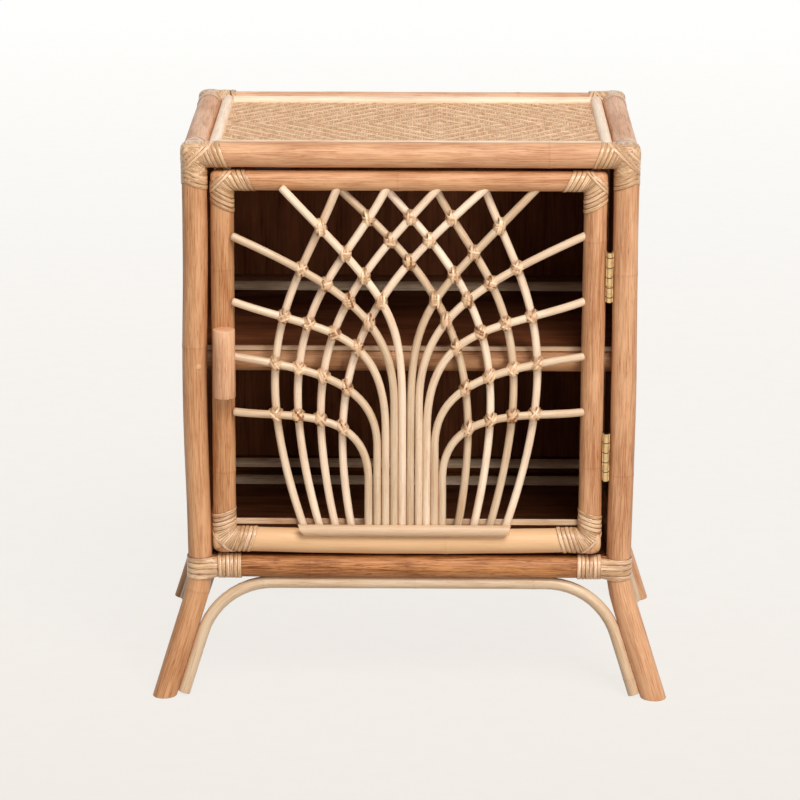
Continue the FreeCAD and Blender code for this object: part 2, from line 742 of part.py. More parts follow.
SHELL = size("binding_thickness")
CLEAR = size("binding_clearance")


def sleeve(growth, arm):
    """A faceted tube's solid round a pole. An arm is its base, axis, pole diameter and length."""
    base, axis, diameter, length = arm
    across = (diameter + growth) / math.cos(math.pi / BINDING_SIDES)
    return Part.Face(ring(base, axis, across, BINDING_SIDES)).extrude(axis * length)


def lengthen(arm, start, finish):
    """The same arm with its two ends moved outwards."""
    base, axis, diameter, length = arm
    return base - axis * start, axis, diameter, length + start + finish


def binding(capped, arms):
    """Peel round the poles of a joint. The capped arm is closed over its pole's end."""
    outer = [sleeve(2 * (CLEAR + SHELL), lengthen(capped, CLEAR + SHELL, 0))]
    inner = [sleeve(2 * CLEAR, lengthen(capped, CLEAR, SHELL))]
    for arm in arms:
        outer.append(sleeve(2 * (CLEAR + SHELL), arm))
        inner.append(sleeve(2 * CLEAR, lengthen(arm, 0, SHELL)))
    return outer[0].fuse(outer[1:]).cut(inner).removeSplitter()


def room(label):
    """The block that a panel stands in, which a binding leaves free."""
    box = nodes[label].Shape.BoundBox
    box.enlarge(CLEAR)
    return Part.makeBox(box.XLength, box.YLength, box.ZLength, Vector(box.XMin, box.YMin, box.ZMin))


side_panels = ["side_panel_left", "side_panel_right"]


def top_corner_binding(side, end):
    """Round the post head and the two top rails that meet it."""
    centre = Vector(side * post_x, end * post_y, place("top_rail_z"))
    reach = size("corner_binding_reach")
    rail = size("top_rail_diameter")
    head = centre + Z_AXIS * (rail / 2)
    post_arm = (head, Z_AXIS * -1, size("post_diameter"), rail / 2 + reach)
    peel = binding(post_arm, [(centre, X_AXIS * -side, rail, reach),
                              (centre, Y_AXIS * -end, rail, reach)])
    panels = ["top_board", "woven_top", "top_border_canes", "back_panel_upper"]
    return peel.cut([room(label) for label in panels + side_panels])


def base_binding(side, end):
    """A band round the bent post, and a sleeve of coils on each base rail beside it."""
    rail, post = size("base_rail_diameter"), size("post_diameter")
    corner = Vector(side * post_x, end * post_y, size("base_rail_height"))
    band_arm = (corner - Z_AXIS * (rail / 2), Z_AXIS, post, rail)
    band = sleeve(2 * (CLEAR + SHELL), band_arm).cut(sleeve(2 * CLEAR, band_arm))
    inward = Part.makeBox(2 * post, 2 * post, rail, Vector(0, 0, -rail / 2))
    inward.Placement = Placement(corner, Rotation(Z_AXIS, quadrant_turn(side, end)))
    axes = (X_AXIS * -side, Y_AXIS * -end)
    rails = [sleeve(2 * CLEAR, (corner, axis, rail, 3 * post)) for axis in axes]
    band = largest(band.cut([inward, nodes[post_label(side, end)].Shape] + rails))
    start = post / 2 + 2 * SHELL
    length = size("base_binding_reach") - start
    pieces = [band]
    for axis in axes:
        arm = (corner + axis * start, axis, rail, length)
        panels = [room(label) for label in ["floor_board"] + side_panels]
        pieces.append(sleeve(2 * (CLEAR + SHELL), arm).cut([sleeve(2 * CLEAR, arm)] + panels))
    return pieces


def largest(shape):
    return max(shape.Solids, key=lambda solid: solid.Volume)


def post_label(side, end):
    return f"post_{'front' if end < 0 else 'back'}_{'left' if side < 0 else 'right'}"


def quadrant_turn(side, end):
    """The turn that brings the first quadrant to the cabinet's side of a corner post."""
    return {(LEFT, FRONT): 0, (RIGHT, FRONT): 90, (RIGHT, BACK): 180, (LEFT, BACK): 270}[side, end]


document.recompute()
for end_name, end in ENDS.items():
    corners = [top_corner_binding(side, end) for side in SIDES.values()]
    keep_shape(f"top_bindings_{end_name}", Part.makeCompound(corners))
    pieces = [piece for side in SIDES.values() for piece in base_binding(side, end)]
    keep_shape(f"base_bindings_{end_name}", Part.makeCompound(pieces))


def door_binding(side, rail_height, rail_diameter, up):
    """Round one corner of the door: up is where its stile runs from the corner."""
    stile = size("stile_diameter")
    across = place("left_stile_x") if side < 0 else place("right_stile_x")
    end_height = place("door_bottom") if up > 0 else place("door_top")
    reach = size("door_binding_reach")
    stile_arm = (Vector(across, -post_y, end_height), Z_AXIS * up, stile, rail_diameter / 2 + reach)
    rail_arm = (Vector(across, -post_y, rail_height), X_AXIS * -side, rail_diameter, reach)
    return binding(stile_arm, [rail_arm])


for side_name, side in SIDES.items():
    corners = [door_binding(side, place("door_top_z"), size("door_top_diameter"), -1),
               door_binding(side, place("door_bottom_z"), size("door_bottom_diameter"), 1)]
    keep_shape(f"door_bindings_{side_name}", Part.makeCompound(corners))


# ---------------------------------------------------------------- grille

# Each rising cane: outward lean in degrees where it leaves the sill and the pull of that lean, then
# offset, lean and pull where it meets the top rail. Pulls are shares of the fan's height, and
# offsets of its half width.
RISING = [
    (18, 0.590, 0.427, -21, 0.302),
    (15, 0.662, 0.146, -27, 0.288),
    (12, 0.547, -0.140, -42, 0.403),
    (10, 0.547, -0.409, -47, 0.388),
]
# Each crossing cane: height where it leaves the upright bundle and the pull upwards there, then
# height, lean and pull where it meets the stile, all in shares of the fan's height. The last one
# meets the top rail, at an offset.
CROSSING = [
    (0.152, 0.224, 0.356, 83, 0.150),
    (0.253, 0.187, 0.520, 81, 0.242),
    (0.296, 0.322, 0.681, 70, 0.259),
    (0.376, 0.247, 0.871, 65, 0.351),
]
CROWN = (0.333, 0.322, 0.708, 43, 0.446)
RISING_CHORDS, CROSSING_CHORDS = 7, 7
# The half width over the height of the fan that the leans are drawn for.
FAN_ASPECT = 0.492
# Where the two fans' canes pass each other, as a share of the height.
CROWN_LEVEL = 0.779

cane = size("cane_diameter")
sill_height = place("sill_z")
door_mid = (place("left_stile_x") + place("right_stile_x")) / 2
fan_half = (place("right_stile_x") - place("left_stile_x") - size("stile_diameter")) / 2
fan_head = place("door_top_z") - size("door_top_diameter") / 2
fan_rise = fan_head - sill_height
# The left fan leans forwards and the right fan backwards by enough to pass each other.
tilts = {LEFT: math.atan2(place("layer_step") / 3, CROWN_LEVEL * fan_rise),
         RIGHT: -math.atan2(place("layer_step") * 2 / 3, CROWN_LEVEL * fan_rise)}


def pull(lean, share, side):
    """How far a curve is led on at its end, outwards by lean degrees from upright."""
    across = math.sin(math.radians(lean)) * fan_half / FAN_ASPECT
    return Vector(side * across, 0, math.cos(math.radians(lean)) * fan_rise) * share


def fan_level(share):
    """The height at a share of the fan."""
    return sill_height + share * fan_rise


def fan_axis(height):
    """The fan's centre line, which leans a little to the right."""
    return door_mid + size("fan_centre") + size("fan_lean") * (height - sill_height) / fan_rise


def curve(start, start_pull, finish, finish_pull):
    """A cubic curve as a function of its share from 0 to 1."""
    def point(share):
        rest = 1 - share
        return (start * rest ** 3 + (start + start_pull) * (3 * rest ** 2 * share)
                + (finish - finish_pull) * (3 * rest * share ** 2) + finish * share ** 3)
    return point


def chords(point, count):
    """The points that split a curve into a number of chords."""
    return [point(index / count) for index in range(count + 1)]


def fan_route(points, depth, tilt):
    """A route drawn in the XZ plane, set depth mm behind the door's middle and tilted."""
    sill_line = Placement(Vector(0, -post_y + depth, sill_height),
                          Rotation(X_AXIS, math.degrees(tilt)))
    return [sill_line.multVec(point - Z_AXIS * sill_height) for point in points]


def rising_points(index, side):
    """From behind the sill strip up to the top rail."""
    lean, lead, head_offset, head_lean, head_lead = RISING[index]
    outer = len(RISING) - 1 - index
    offset = size("bundle_pitch") * 6.5 + size("outer_cane_pitch") * outer
    foot = Vector(fan_axis(sill_height) + side * offset, 0, sill_height)
    head = Vector(fan_axis(fan_head) + side * head_offset * fan_half, 0, fan_head)
    route = curve(foot, pull(lean, lead, side), head, pull(head_lean, head_lead, side))
    points = chords(route, RISING_CHORDS)
    return points[:-1] + [head + (head - points[-2]).normalize() * cane]


def crossing_points(index, side):
    """From behind the sill strip up the bundle and outwards to the stile, or to the top rail."""
    crown = index == len(CROSSING)
    turn, lead, end, end_lean, end_lead = CROWN if crown else CROSSING[index]
    offset = size("bundle_pitch") * (len(CROSSING) + 0.5 - index)
    start = Vector(fan_axis(fan_level(turn)) + side * offset, 0, fan_level(turn))
    if crown:
        finish = Vector(fan_axis(fan_head) + side * end * fan_half, 0, fan_head)
    else:
        finish = Vector(door_mid + side * fan_half, 0, fan_level(end))
    route = curve(start, pull(0, lead, side), finish, pull(end_lean, end_lead, side))
    points = chords(route, CROSSING_CHORDS)
    foot = Vector(start.x, 0, sill_height)
    return [foot] + points[:-1] + [finish + (finish - points[-2]).normalize() * cane / 2]


def cope_prism(diameter, base, axis):
    """What the canes' ends are cut with, a little larger than the pole they meet."""
    across = (diameter + 2 * size("joint_clearance")) / math.cos(math.pi / COPE_SIDES)
    return Part.Face(ring(base, axis, across, COPE_SIDES)).extrude(axis * size("body_width"))


COPE_SIDES = 16
frame_cutters = []
for level in ("top", "bottom"):
    base = Vector(place("left_stile_x"), -post_y, place(f"door_{level}_z"))
    frame_cutters.append(cope_prism(size(f"door_{level}_diameter"), base, X_AXIS))
for side_name in SIDES:
    base = Vector(place(f"{side_name}_stile_x"), -post_y, place("door_bottom"))
    frame_cutters.append(cope_prism(size("stile_diameter"), base, Z_AXIS))
handle_base = Vector(place("left_stile_x"), -post_y - size("handle_reach"),
                     size("handle_height") - size("handle_length") / 2)
frame_cutters.append(cope_prism(size("handle_diameter"), handle_base, Z_AXIS))


def fan_cane(route):
    """A cane along its route, with both ends coped to the door frame."""
    return largest(bent_cane(route, cane, CANE_SIDES).cut(frame_cutters))


rising, crossing = {}, {}
for side_name, side in SIDES.items():
    tilt = tilts[side]
    rising[side] = [fan_route(rising_points(index, side), 0, tilt)
                    for index in range(len(RISING))]
    crossing[side] = [fan_route(crossing_points(index, side), -place("layer_step"), tilt)
                      for index in range(len(CROSSING) + 1)]
    keep_shape(f"rising_canes_{side_name}",
               Part.makeCompound([fan_cane(route) for route in rising[side]]))
    keep_shape(f"crossing_canes_{side_name}",
               Part.makeCompound([fan_cane(route) for route in crossing[side]]))


# ---------------------------------------------------------------- lashings where canes cross

def meeting(first, second):
    """Where two runs cross, seen from the front: a point on each, or None."""
    (start, finish), (other_start, other_finish) = first, second
    along, other_along = finish - start, other_finish - other_start
    spread = along.x * other_along.z - along.z * other_along.x
    if spread == 0:
        return None
    between = other_start - start
    share = (between.x * other_along.z - between.z * other_along.x) / spread
    other_share = (between.x * along.z - between.z * along.x) / spread
    if min(share, other_share) < 0 or max(share, other_share) >= 1:
        return None
    return start + along * share, other_start + other_along * other_share


def lashing_outline(centre, across, half_width, half_depth, spacing):
    """A six-sided loop round two canes that lie one behind the other."""
    peak, shoulder = 1 / math.cos(math.pi / 6), math.tan(math.pi / 6)
    corners = [(0, spacing / 2 + half_depth * peak),
               (half_width, spacing / 2 + half_depth * shoulder),
               (half_width, -spacing / 2 - half_depth * shoulder)]
    corners += [(-right, -depth) for right, depth in corners]
    points = [centre + across * right + Y_AXIS * depth for right, depth in corners]
    return Part.makePolygon(points + [points[0]])


def lashing(point, along, other_point, other_along):
    """A band of peel round a crossing, with its edges square to the canes' bisector."""
    if along.dot(other_along) < 0:
        other_along = other_along * -1
    bisector = (along + other_along).normalize()
    across = bisector.cross(Y_AXIS)
    half_turn = along.getAngle(other_along) / 2
    radius, width = cane / 2, size("lashing_width")
    half_width = (radius + width / 2 * math.sin(half_turn)) / math.cos(half_turn)
    half_width += size("seat_clearance")
    half_depth = radius + size("seat_clearance")
    spacing = abs(point.y - other_point.y)
    peel = size("lashing_thickness")
    centre = (point + other_point) / 2 - bisector * (width / 2)
    outer = lashing_outline(centre, across, half_width + peel, half_depth + peel, spacing)
    inner = lashing_outline(centre, across, half_width, half_depth, spacing)
    band, hollow = [Part.Face(loop).extrude(bisector * width) for loop in (outer, inner)]
    return band.cut(hollow)


def heading(route, index, point):
    """The direction of one run of a route as seen from the front, evened out near its ends."""
    along = (route[index + 1] - route[index]).normalize()
    near = size("lashing_width") / 2
    if index > 0 and point.distanceToPoint(route[index]) < near:
        along = along + (route[index] - route[index - 1]).normalize()
    if index + 2 < len(route) and point.distanceToPoint(route[index + 1]) < near:
        along = along + (route[index + 2] - route[index + 1]).normalize()
    return Vector(along.x, 0, along.z).normalize()


def lashings(routes, other_routes):
    """One lashing for every crossing of two canes of the sets, down from the top rail."""
    bands = []
    for route in routes:
        for other in other_routes:
            for index, run in enumerate(zip(route, route[1:])):
                for other_index, other_run in enumerate(zip(other, other[1:])):
                    found = meeting(run, other_run)
                    if found and found[0].z < fan_head - cane:
                        bands.append(lashing(found[0], heading(route, index, found[0]),
                                             found[1], heading(other, other_index, found[1])))
    return bands


for side_name, side in SIDES.items():
    keep_shape(f"lashings_{side_name}",
               Part.makeCompound(lashings(rising[side], crossing[side])))
keep_shape("lashings_top", Part.makeCompound(lashings(rising[LEFT], rising[RIGHT])))


# ---------------------------------------------------------------- sill strips over the cane ends

STRIP_RADIUS = "Sizes.sill_strip_width / 2"
sill_strip_x = "(Layout.left_stile_x + Layout.right_stile_x) / 2 + Sizes.fan_centre"
sill_strip_y = ("-Layout.post_y - Layout.layer_step - Sizes.cane_diameter / 2"
                " - Sizes.joint_clearance")
sill_strip_z = f"Layout.sill_z + Sizes.sill_strip_rise - {STRIP_RADIUS}"
half_round = strip("sill_strip_round", STRIP_RADIUS, "Sizes.sill_strip_length", X_AXIS, Z_AXIS,
                   HALF, (f"{sill_strip_x} - Sizes.sill_strip_length / 2", sill_strip_y,
                          sill_strip_z))
outline = new_body("sill_strip_outline")
mitre_sketch = new_sketch(outline, "XZ_Plane", "sill_strip_mitres")
half_length = size("sill_strip_length") / 2
sketch_outline(mitre_sketch,
               [("-Sizes.sill_strip_length / 2", STRIP_RADIUS),
                ("Sizes.sill_strip_length / 2", STRIP_RADIUS),
                ("Sizes.sill_strip_length / 2 - Sizes.sill_strip_mitre", f"-{STRIP_RADIUS}"),
                ("Sizes.sill_strip_mitre - Sizes.sill_strip_length / 2", f"-{STRIP_RADIUS}")],
               [(-half_length, 1), (half_length, 1), (half_length - 1, -1), (1 - half_length, -1)])
pad(outline, mitre_sketch, "2 * Sizes.sill_strip_width", midplane=True)
drive_base(outline, (sill_strip_x, sill_strip_y, sill_strip_z))
mitred = document.addObject("Part::Common", "sill_strip_mitred")
mitred.Base = half_round
mitred.Tool = outline
keep("sill_strip", mitred)

stile_face = f"Sizes.stile_diameter / 2 + 2 * Sizes.binding_thickness"
keep("sill_backing_strip",
     strip("backing_strip", "Sizes.backing_strip_width / 2",
           f"Layout.right_stile_x - Layout.left_stile_x - 2 * ({stile_face})", X_AXIS, -Z_AXIS, HALF,
           (f"Layout.left_stile_x + {stile_face}",
            f"-Layout.post_y + Sizes.cane_diameter / 2 + {SEAT}",
            "Layout.sill_z + Sizes.backing_strip_lift + Sizes.backing_strip_width / 2")))

document.recompute()
faults = [thing.Label for thing in document.Objects
          if "Invalid" in thing.State or "Error" in thing.State]
faults += [label for label, thing in nodes.items()
           if thing.Shape.isNull() or not thing.Shape.isValid()]
if faults:
    raise RuntimeError(f"not built: {faults}")

os.makedirs("parts", exist_ok=True)
for label, thing in nodes.items():
    thing.Shape.exportStep(f"parts/{label}.step")
print(len(nodes), "nodes written")
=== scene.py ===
"""A rattan side table with a caned door: its poles, peel, weave and light round the frame."""
import math
import random

import bpy
import bmesh
import numpy as np
from bpy.props import FloatProperty, FloatVectorProperty, IntProperty, PointerProperty
from mathutils import Matrix, Vector


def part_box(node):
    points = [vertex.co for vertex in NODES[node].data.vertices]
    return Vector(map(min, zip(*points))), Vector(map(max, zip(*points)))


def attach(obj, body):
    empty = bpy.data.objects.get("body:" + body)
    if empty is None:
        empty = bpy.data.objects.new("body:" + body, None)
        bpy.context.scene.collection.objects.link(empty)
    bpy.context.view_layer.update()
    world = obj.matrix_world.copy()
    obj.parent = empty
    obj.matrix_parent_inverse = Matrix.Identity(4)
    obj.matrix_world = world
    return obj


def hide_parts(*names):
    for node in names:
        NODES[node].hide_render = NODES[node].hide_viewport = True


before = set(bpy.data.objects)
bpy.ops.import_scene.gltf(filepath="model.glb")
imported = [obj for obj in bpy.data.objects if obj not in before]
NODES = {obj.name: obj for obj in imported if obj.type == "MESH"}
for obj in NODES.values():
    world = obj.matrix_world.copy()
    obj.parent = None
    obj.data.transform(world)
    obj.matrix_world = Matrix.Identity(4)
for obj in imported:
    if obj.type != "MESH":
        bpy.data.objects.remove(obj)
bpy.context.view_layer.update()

bl_info = {
    "name": "Rattan side table",
    "version": (1, 0, 0),
    "blender": (4, 5, 0),
    "location": "3D View > Sidebar > Side table",
    "description": "Dresses the side table's frame in poles, cane, peel and stained wood",
    "category": "Object",
}

MM = 0.001
UP = Vector((0, 0, 1))
FINISHES = {}
HINGE, KNUCKLE, LEAF = 50 * MM, 10 * MM, 1.3 * MM


# ---------------------------------------------------------------- settings

def length(name, description, millimetres):
    return FloatProperty(name=name, description=description, default=millimetres * MM, min=0,
                         unit="LENGTH", precision=4)


def number(name, description, default, **kind):
    return FloatProperty(name=name, description=description, default=default, **kind)


def whole(name, description, default):
    return IntProperty(name=name, description=description, default=default)


def shade(red, green, blue):
    """A colour given as 0 to 255 on screen, in linear light."""
    linear = []
    for value in (red, green, blue):
        value /= 255
        linear.append(value / 12.92 if value <= 0.04045 else ((value + 0.055) / 1.055) ** 2.4)
    return linear


def colour(name, description, red, green, blue):
    return FloatVectorProperty(name=name, description=description, subtype="COLOR", size=3, min=0,
                               max=1, default=shade(red, green, blue))


class TABLE_PG_poles(bpy.types.PropertyGroup):
    """Sizes of the poles."""
    post: length("Post", "Diameter of the corner posts", 25)
    top_rail: length("Top rail", "Diameter of the four top rails", 25)
    base_rail: length("Base rail", "Diameter of the four base rails", 23)
    inner_rail: length("Inner rail", "Diameter of the rails at the back", 20)
    shelf_rail: length("Shelf rail", "Diameter of the rail under the shelf's front", 22)
    stile: length("Stile", "Diameter of the door's uprights", 23)
    door_top: length("Door top", "Diameter of the door's top rail", 20)
    door_bottom: length("Door bottom", "Diameter of the door's bottom rail", 25)
    handle: length("Handle", "Diameter of the handle", 22)
    handle_rise: length("Handle rise", "How far the handle stands high", 3.5)
    arch: length("Arch", "Diameter of the canes under the base", 12.4)
    border: length("Border", "Width of the canes round the woven top", 12)
    knee_height: length("Knee height", "Where the legs start to splay", 116)
    knee_radius: length("Knee radius", "Radius of the posts' bends", 120)
    side_splay: length("Side splay", "How far a foot stands out sideways", 37)
    front_splay: length("Front splay", "How far a foot stands out forwards", 19)
    arch_radius: length("Arch radius", "Radius of the arched canes' bends", 75)
    bow: length("Bow", "How far the door's bottom rail sags", 3)
    left_taper: number("Left taper", "Share of its thickness that a left post keeps below", 0.95)
    left_belly: length("Left belly", "How far a left post's middle stands out", 2.8)
    right_belly: length("Right belly", "How far a right post's middle stands out", 1.4)
    stile_lean: length("Stile lean", "How far the left stile's foot stands out", 3)
    settle: length("Settle", "How far the base rails and the back rail sit low", 1.2)


class TABLE_PG_grille(bpy.types.PropertyGroup):
    """Sizes of the door's grille."""
    cane: length("Cane", "Diameter of the canes", 8)
    pitch: length("Bundle pitch", "From cane to cane in the upright bundle", 8.2)
    outer_pitch: length("Outer pitch", "From cane to cane beside the bundle", 16)
    layer: length("Layer step", "From the rear canes to the front ones", 8.15)
    centre: number("Centre", "Where the fan's foot stands", -4 * MM, unit="LENGTH")
    lean: length("Lean", "How far the fan leans to the right", 5)
    strand: length("Strand", "Width of a lashing's strands", 2.3)
    strand_thickness: length("Strand thickness", "Thickness of a lashing's strands", 1.3)
    seed: whole("Seed", "Seed of the lashings' unevenness", 5)


class TABLE_PG_weave(bpy.types.PropertyGroup):
    """Sizes of the woven top."""
    pitch: length("Pitch", "From strip to strip", 2.5)
    strip: length("Strip", "Width of a strip", 2.15)
    thickness: length("Thickness", "Thickness of a strip", 0.5)
    rise: length("Rise", "How far a strip rises where it passes over", 0.58)
    over: whole("Over", "Strips that each strip passes over", 4)
    centre: length("Centre", "Where the diamonds meet", 28)
    seed: whole("Seed", "Seed of the weave's unevenness", 11)


class TABLE_PG_bindings(bpy.types.PropertyGroup):
    """Sizes of the peel round the joints."""
    strip: length("Strip", "Width of a strip of peel", 4.0)
    pivot: length("Pivot", "From an inner corner to where its fan spreads from", 8)
    thickness: length("Thickness", "Thickness of a strip of peel", 0.8)
    crown: length("Crown", "How far a strip's middle stands proud", 0.35)
    strap: length("Strap", "Width of one of the diagonal straps", 3.4)
    cabinet_strap: length("Cabinet strap", "From a cabinet's inner corner to its strap", 16)
    door_top_strap: length("Upper strap", "From the door's upper inner corner to its strap", 18)
    door_bottom_strap: length("Lower strap", "From the door's lower corner to its strap", 19.8)
    knee_reach: length("Knee reach", "How far the level strips run over the rails", 18.5)
    knee_turns: whole("Knee turns", "Level strips at a knee", 4)
    rail_turns: whole("Rail turns", "Strips round a base rail", 6)
    seed: whole("Seed", "Seed of the bindings' unevenness", 3)


class TABLE_PG_finish(bpy.types.PropertyGroup):
    """Colours of the finishes."""
    pole: colour("Pole", "Sanded rattan pole", 224, 170, 126)
    pole_dark: colour("Pole streaks", "Streaks and growth rings of a pole", 158, 94, 50)
    pale: colour("Pale pole", "The door's bottom rail, which is paler", 238, 194, 148)
    base: colour("Base pole", "Poles under the cabinet", 216, 154, 106)
    base_dark: colour("Base pole streaks", "Streaks and scratches of those poles", 120, 66, 36)
    cane: colour("Cane", "Thin peeled cane", 245, 218, 187)
    cane_dark: colour("Cane streaks", "Streaks in the thin cane", 196, 146, 104)
    peel: colour("Peel", "Glossy strips of rattan peel", 244, 204, 160)
    peel_dark: colour("Peel streaks", "Streaks in the peel", 150, 94, 50)
    weave: colour("Weave", "Strips of the woven top", 252, 215, 170)
    weave_dark: colour("Weave streaks", "Darker strips of the woven top", 200, 134, 80)
    # Painted shade: a dark colour for the board under the weave, standing in for the shade in the
    # gaps between its strips.
    weave_gap: colour("Weave gaps", "What shows between the woven strips", 184, 130, 82)
    moulding: colour("Mouldings", "Thin mouldings inside the cabinet", 250, 220, 186)
    moulding_dark: colour("Moulding streaks", "Streaks of the mouldings", 160, 116, 82)
    shelf: colour("Shelf pole", "Pole under the shelf's front", 214, 164, 124)
    shelf_dark: colour("Shelf pole streaks", "Streaks of that pole", 140, 84, 48)
    brown: colour("Brown pole", "Stained poles inside the cabinet", 116, 68, 36)
    brown_dark: colour("Brown streaks", "Streaks of the stained poles", 70, 38, 20)
    strip: colour("Sill strip", "Strip that holds the canes' feet", 212, 180, 146)
    backing: colour("Backing strip", "Strip behind the canes' feet", 214, 186, 152)
    board: colour("Board", "Stained boards", 122, 70, 42)
    board_dark: colour("Board grain", "Grain of the stained boards", 70, 32, 15)
    brass: colour("Brass", "Hinges and screws", 196, 152, 96)
    # Painted highlight: the hinges' brass is painted paler than the screws' brass, where light
    # catches the round barrels.
    barrel_highlight: colour("Barrel", "Barrels of the hinges", 228, 194, 140)
    case: colour("Magnet case", "Case of the magnetic catch", 72, 50, 38)


class TABLE_PG_stage(bpy.types.PropertyGroup):
    """The floor, the light and the camera."""
    near: colour("Near floor", "Floor round the feet", 243, 238, 232)
    far: colour("Far floor", "Floor far behind", 253, 253, 251)
    key: number("Key lamp", "Power of the large soft lamp", 350, unit="POWER")
    fill: number("Fill lamp", "Power of the lamp on the left", 5, unit="POWER")
    low: number("Low lamp", "Power of the low lamp that lights the inside", 26, unit="POWER")
    sky: number("Sky", "Strength of the light from all round", 0.22)
    camera: FloatVectorProperty(name="Camera", description="Where the camera stands",
                                subtype="TRANSLATION", default=(0.01674, -3.2504, 1.2239))
    pitch: number("Pitch", "How far the camera looks down", 0.2855, subtype="ANGLE")
    yaw: number("Yaw", "How far the camera turns to the left", 0.0085, subtype="ANGLE")
    roll: number("Roll", "How far the camera leans", 0.0019, subtype="ANGLE")
    lens: number("Lens", "Focal length in millimetres", 146.745)


# ---------------------------------------------------------------- node trees

class Wire:
    """A value that a node tree works out. A sum with it adds a math node to its tree."""

    def __init__(self, tree, socket):
        self.tree, self.socket = tree, socket

    def __rsub__(self, other):
        return calc("SUBTRACT", other, self)


SUMS = {"add": "ADD", "sub": "SUBTRACT", "mul": "MULTIPLY", "truediv": "DIVIDE", "pow": "POWER",
        "mod": "MODULO", "abs": "ABSOLUTE", "lt": "LESS_THAN", "gt": "GREATER_THAN"}
for symbol, operation in SUMS.items():
    setattr(Wire, f"__{symbol}__", lambda *values, operation=operation: calc(operation, *values))


def feed(socket, value):
    """Sets a socket's value, or links it to the wire that feeds it."""
    if isinstance(value, Wire):
        value.tree.links.new(value.socket, socket)
    else:
        socket.default_value = value


def node(tree, kind, inputs=None, **options):
    """Adds a node. An input is a value, or the wire that feeds it."""
    made = tree.nodes.new(kind)
    for key, value in options.items():
        setattr(made, key, value)
    for key, value in (inputs or {}).items():
        feed(made.inputs[key], value)
    return made


def read(tree, kind, inputs=None, output=0, **options):
    """Adds a node and gives one of its outputs."""
    return Wire(tree, node(tree, kind, inputs, **options).outputs[output])


def tree_of(*values):
    return next(value.tree for value in values if isinstance(value, Wire))


def calc(operation, *values):
    return read(tree_of(*values), "ShaderNodeMath", dict(enumerate(values)), operation=operation)


def vector_calc(operation, *values):
    return read(tree_of(*values), "ShaderNodeVectorMath", dict(enumerate(values)),
                operation=operation)


def combine(x, y, z):
    return read(tree_of(x, y, z), "ShaderNodeCombineXYZ", {0: x, 1: y, 2: z})


def separate(vector):
    parts = node(vector.tree, "ShaderNodeSeparateXYZ", {0: vector}).outputs
    return [Wire(vector.tree, part) for part in parts]


def attribute(tree, label, output="Fac"):
    return read(tree, "ShaderNodeAttribute", output=output, attribute_name=label)


def object_place(tree):
    return read(tree, "ShaderNodeTexCoord", output="Object")


def noise(vector, stretch, detail=3.0, roughness=0.55):
    """Noise with one feature per 1/stretch metres along each axis."""
    return read(vector.tree, "ShaderNodeTexNoise",
                {"Vector": vector_calc("MULTIPLY", vector, stretch), "Scale": 1.0,
                 "Detail": detail, "Roughness": roughness}, "Fac")


def ramp(value, low, high, start=0.0, finish=1.0):
    """Maps low..high to start..finish, and stays there outside."""
    return read(value.tree, "ShaderNodeMapRange",
                {"Value": value, "From Min": low, "From Max": high, "To Min": start,
                 "To Max": finish}, "Result")


def blend_colours(share, first, second, kind="MIX"):
    tree = tree_of(share, first, second)
    first, second = (value if isinstance(value, Wire) else (*value, 1)
                     for value in (first, second))
    return read(tree, "ShaderNodeMix", {"Factor": share, 6: first, 7: second}, 2,
                data_type="RGBA", blend_type=kind)


def new_finish(name):
    """An empty material, as (tree, Principled shader)."""
    finish = bpy.data.materials.new(name)
    finish.use_nodes = True
    FINISHES[name] = finish
    return finish.node_tree, finish.node_tree.nodes["Principled BSDF"]


def dress(shader, paint, roughness, height, relief, depth):
    """Gives a shader its colour, roughness and relief."""
    bump = read(height.tree, "ShaderNodeBump",
                {"Strength": relief, "Distance": depth, "Height": height})
    for key, value in (("Base Color", paint), ("Roughness", roughness), ("Normal", bump)):
        feed(shader.inputs[key], value)


def object_grain(tree, axis):
    """Object coordinates with the grain's axis put last."""
    x, y, z = separate(object_place(tree))
    return combine(*{"x": (y, z, x), "y": (z, x, y), "z": (x, y, z)}[axis])


def fibre_finish(name, light, dark, axis=None, gloss=0.42, coat=0.12, streaks=0.5, mottle=0.5,
                 flecks=0.3, relief=0.25, fine=900, rings=0.55, shine=0.4):
    """Wood or cane with streaks along its grain. Without an axis it reads the grain attribute."""
    tree, shader = new_finish(name)
    grain = object_grain(tree, axis) if axis else attribute(tree, "grain", "Vector")
    slow = noise(grain, (55, 55, 13), detail=2.0)
    streak = noise(grain, (fine, fine, fine / 30), detail=4.0, roughness=0.65)
    band = noise(grain, (fine / 4, fine / 4, 14), detail=2.0)
    fleck = noise(grain, (fine * 1.6, fine * 1.6, fine / 12), detail=1.0)
    share = (ramp(slow, 0.3, 0.7) * mottle + ramp(streak, 0.42, 0.64) * (streaks * 0.8)
             + ramp(band, 0.48, 0.7) * (streaks * 0.4) + ramp(fleck, 0.62, 0.69) * flecks - 0.16)
    paint = blend_colours(read(tree, "ShaderNodeClamp", {0: share}), light, dark)
    if not axis:
        # This darkens growth rings, by the attribute that also carries painted shade at the edges of
        # peel strips and lashing strands and where woven strips dip under; rings sets how strong.
        paint = blend_colours(attribute(tree, "knot") * rings, paint, dark, "MULTIPLY")
        tone = attribute(tree, "tone")
        paint = read(tree, "ShaderNodeHueSaturation",
                     {"Color": paint, "Value": ramp(tone, 0, 1, 0.74, 1.12),
                      "Saturation": ramp(tone, 0, 1, 1.14, 0.9)})
    dress(shader, paint, ramp(slow, 0.3, 0.7, gloss - 0.07, gloss + 0.1), streak, relief, 0.4 * MM)
    for key, value in (("Coat Weight", coat), ("Coat Roughness", 0.25),
                       ("Specular IOR Level", shine)):
        shader.inputs[key].default_value = value


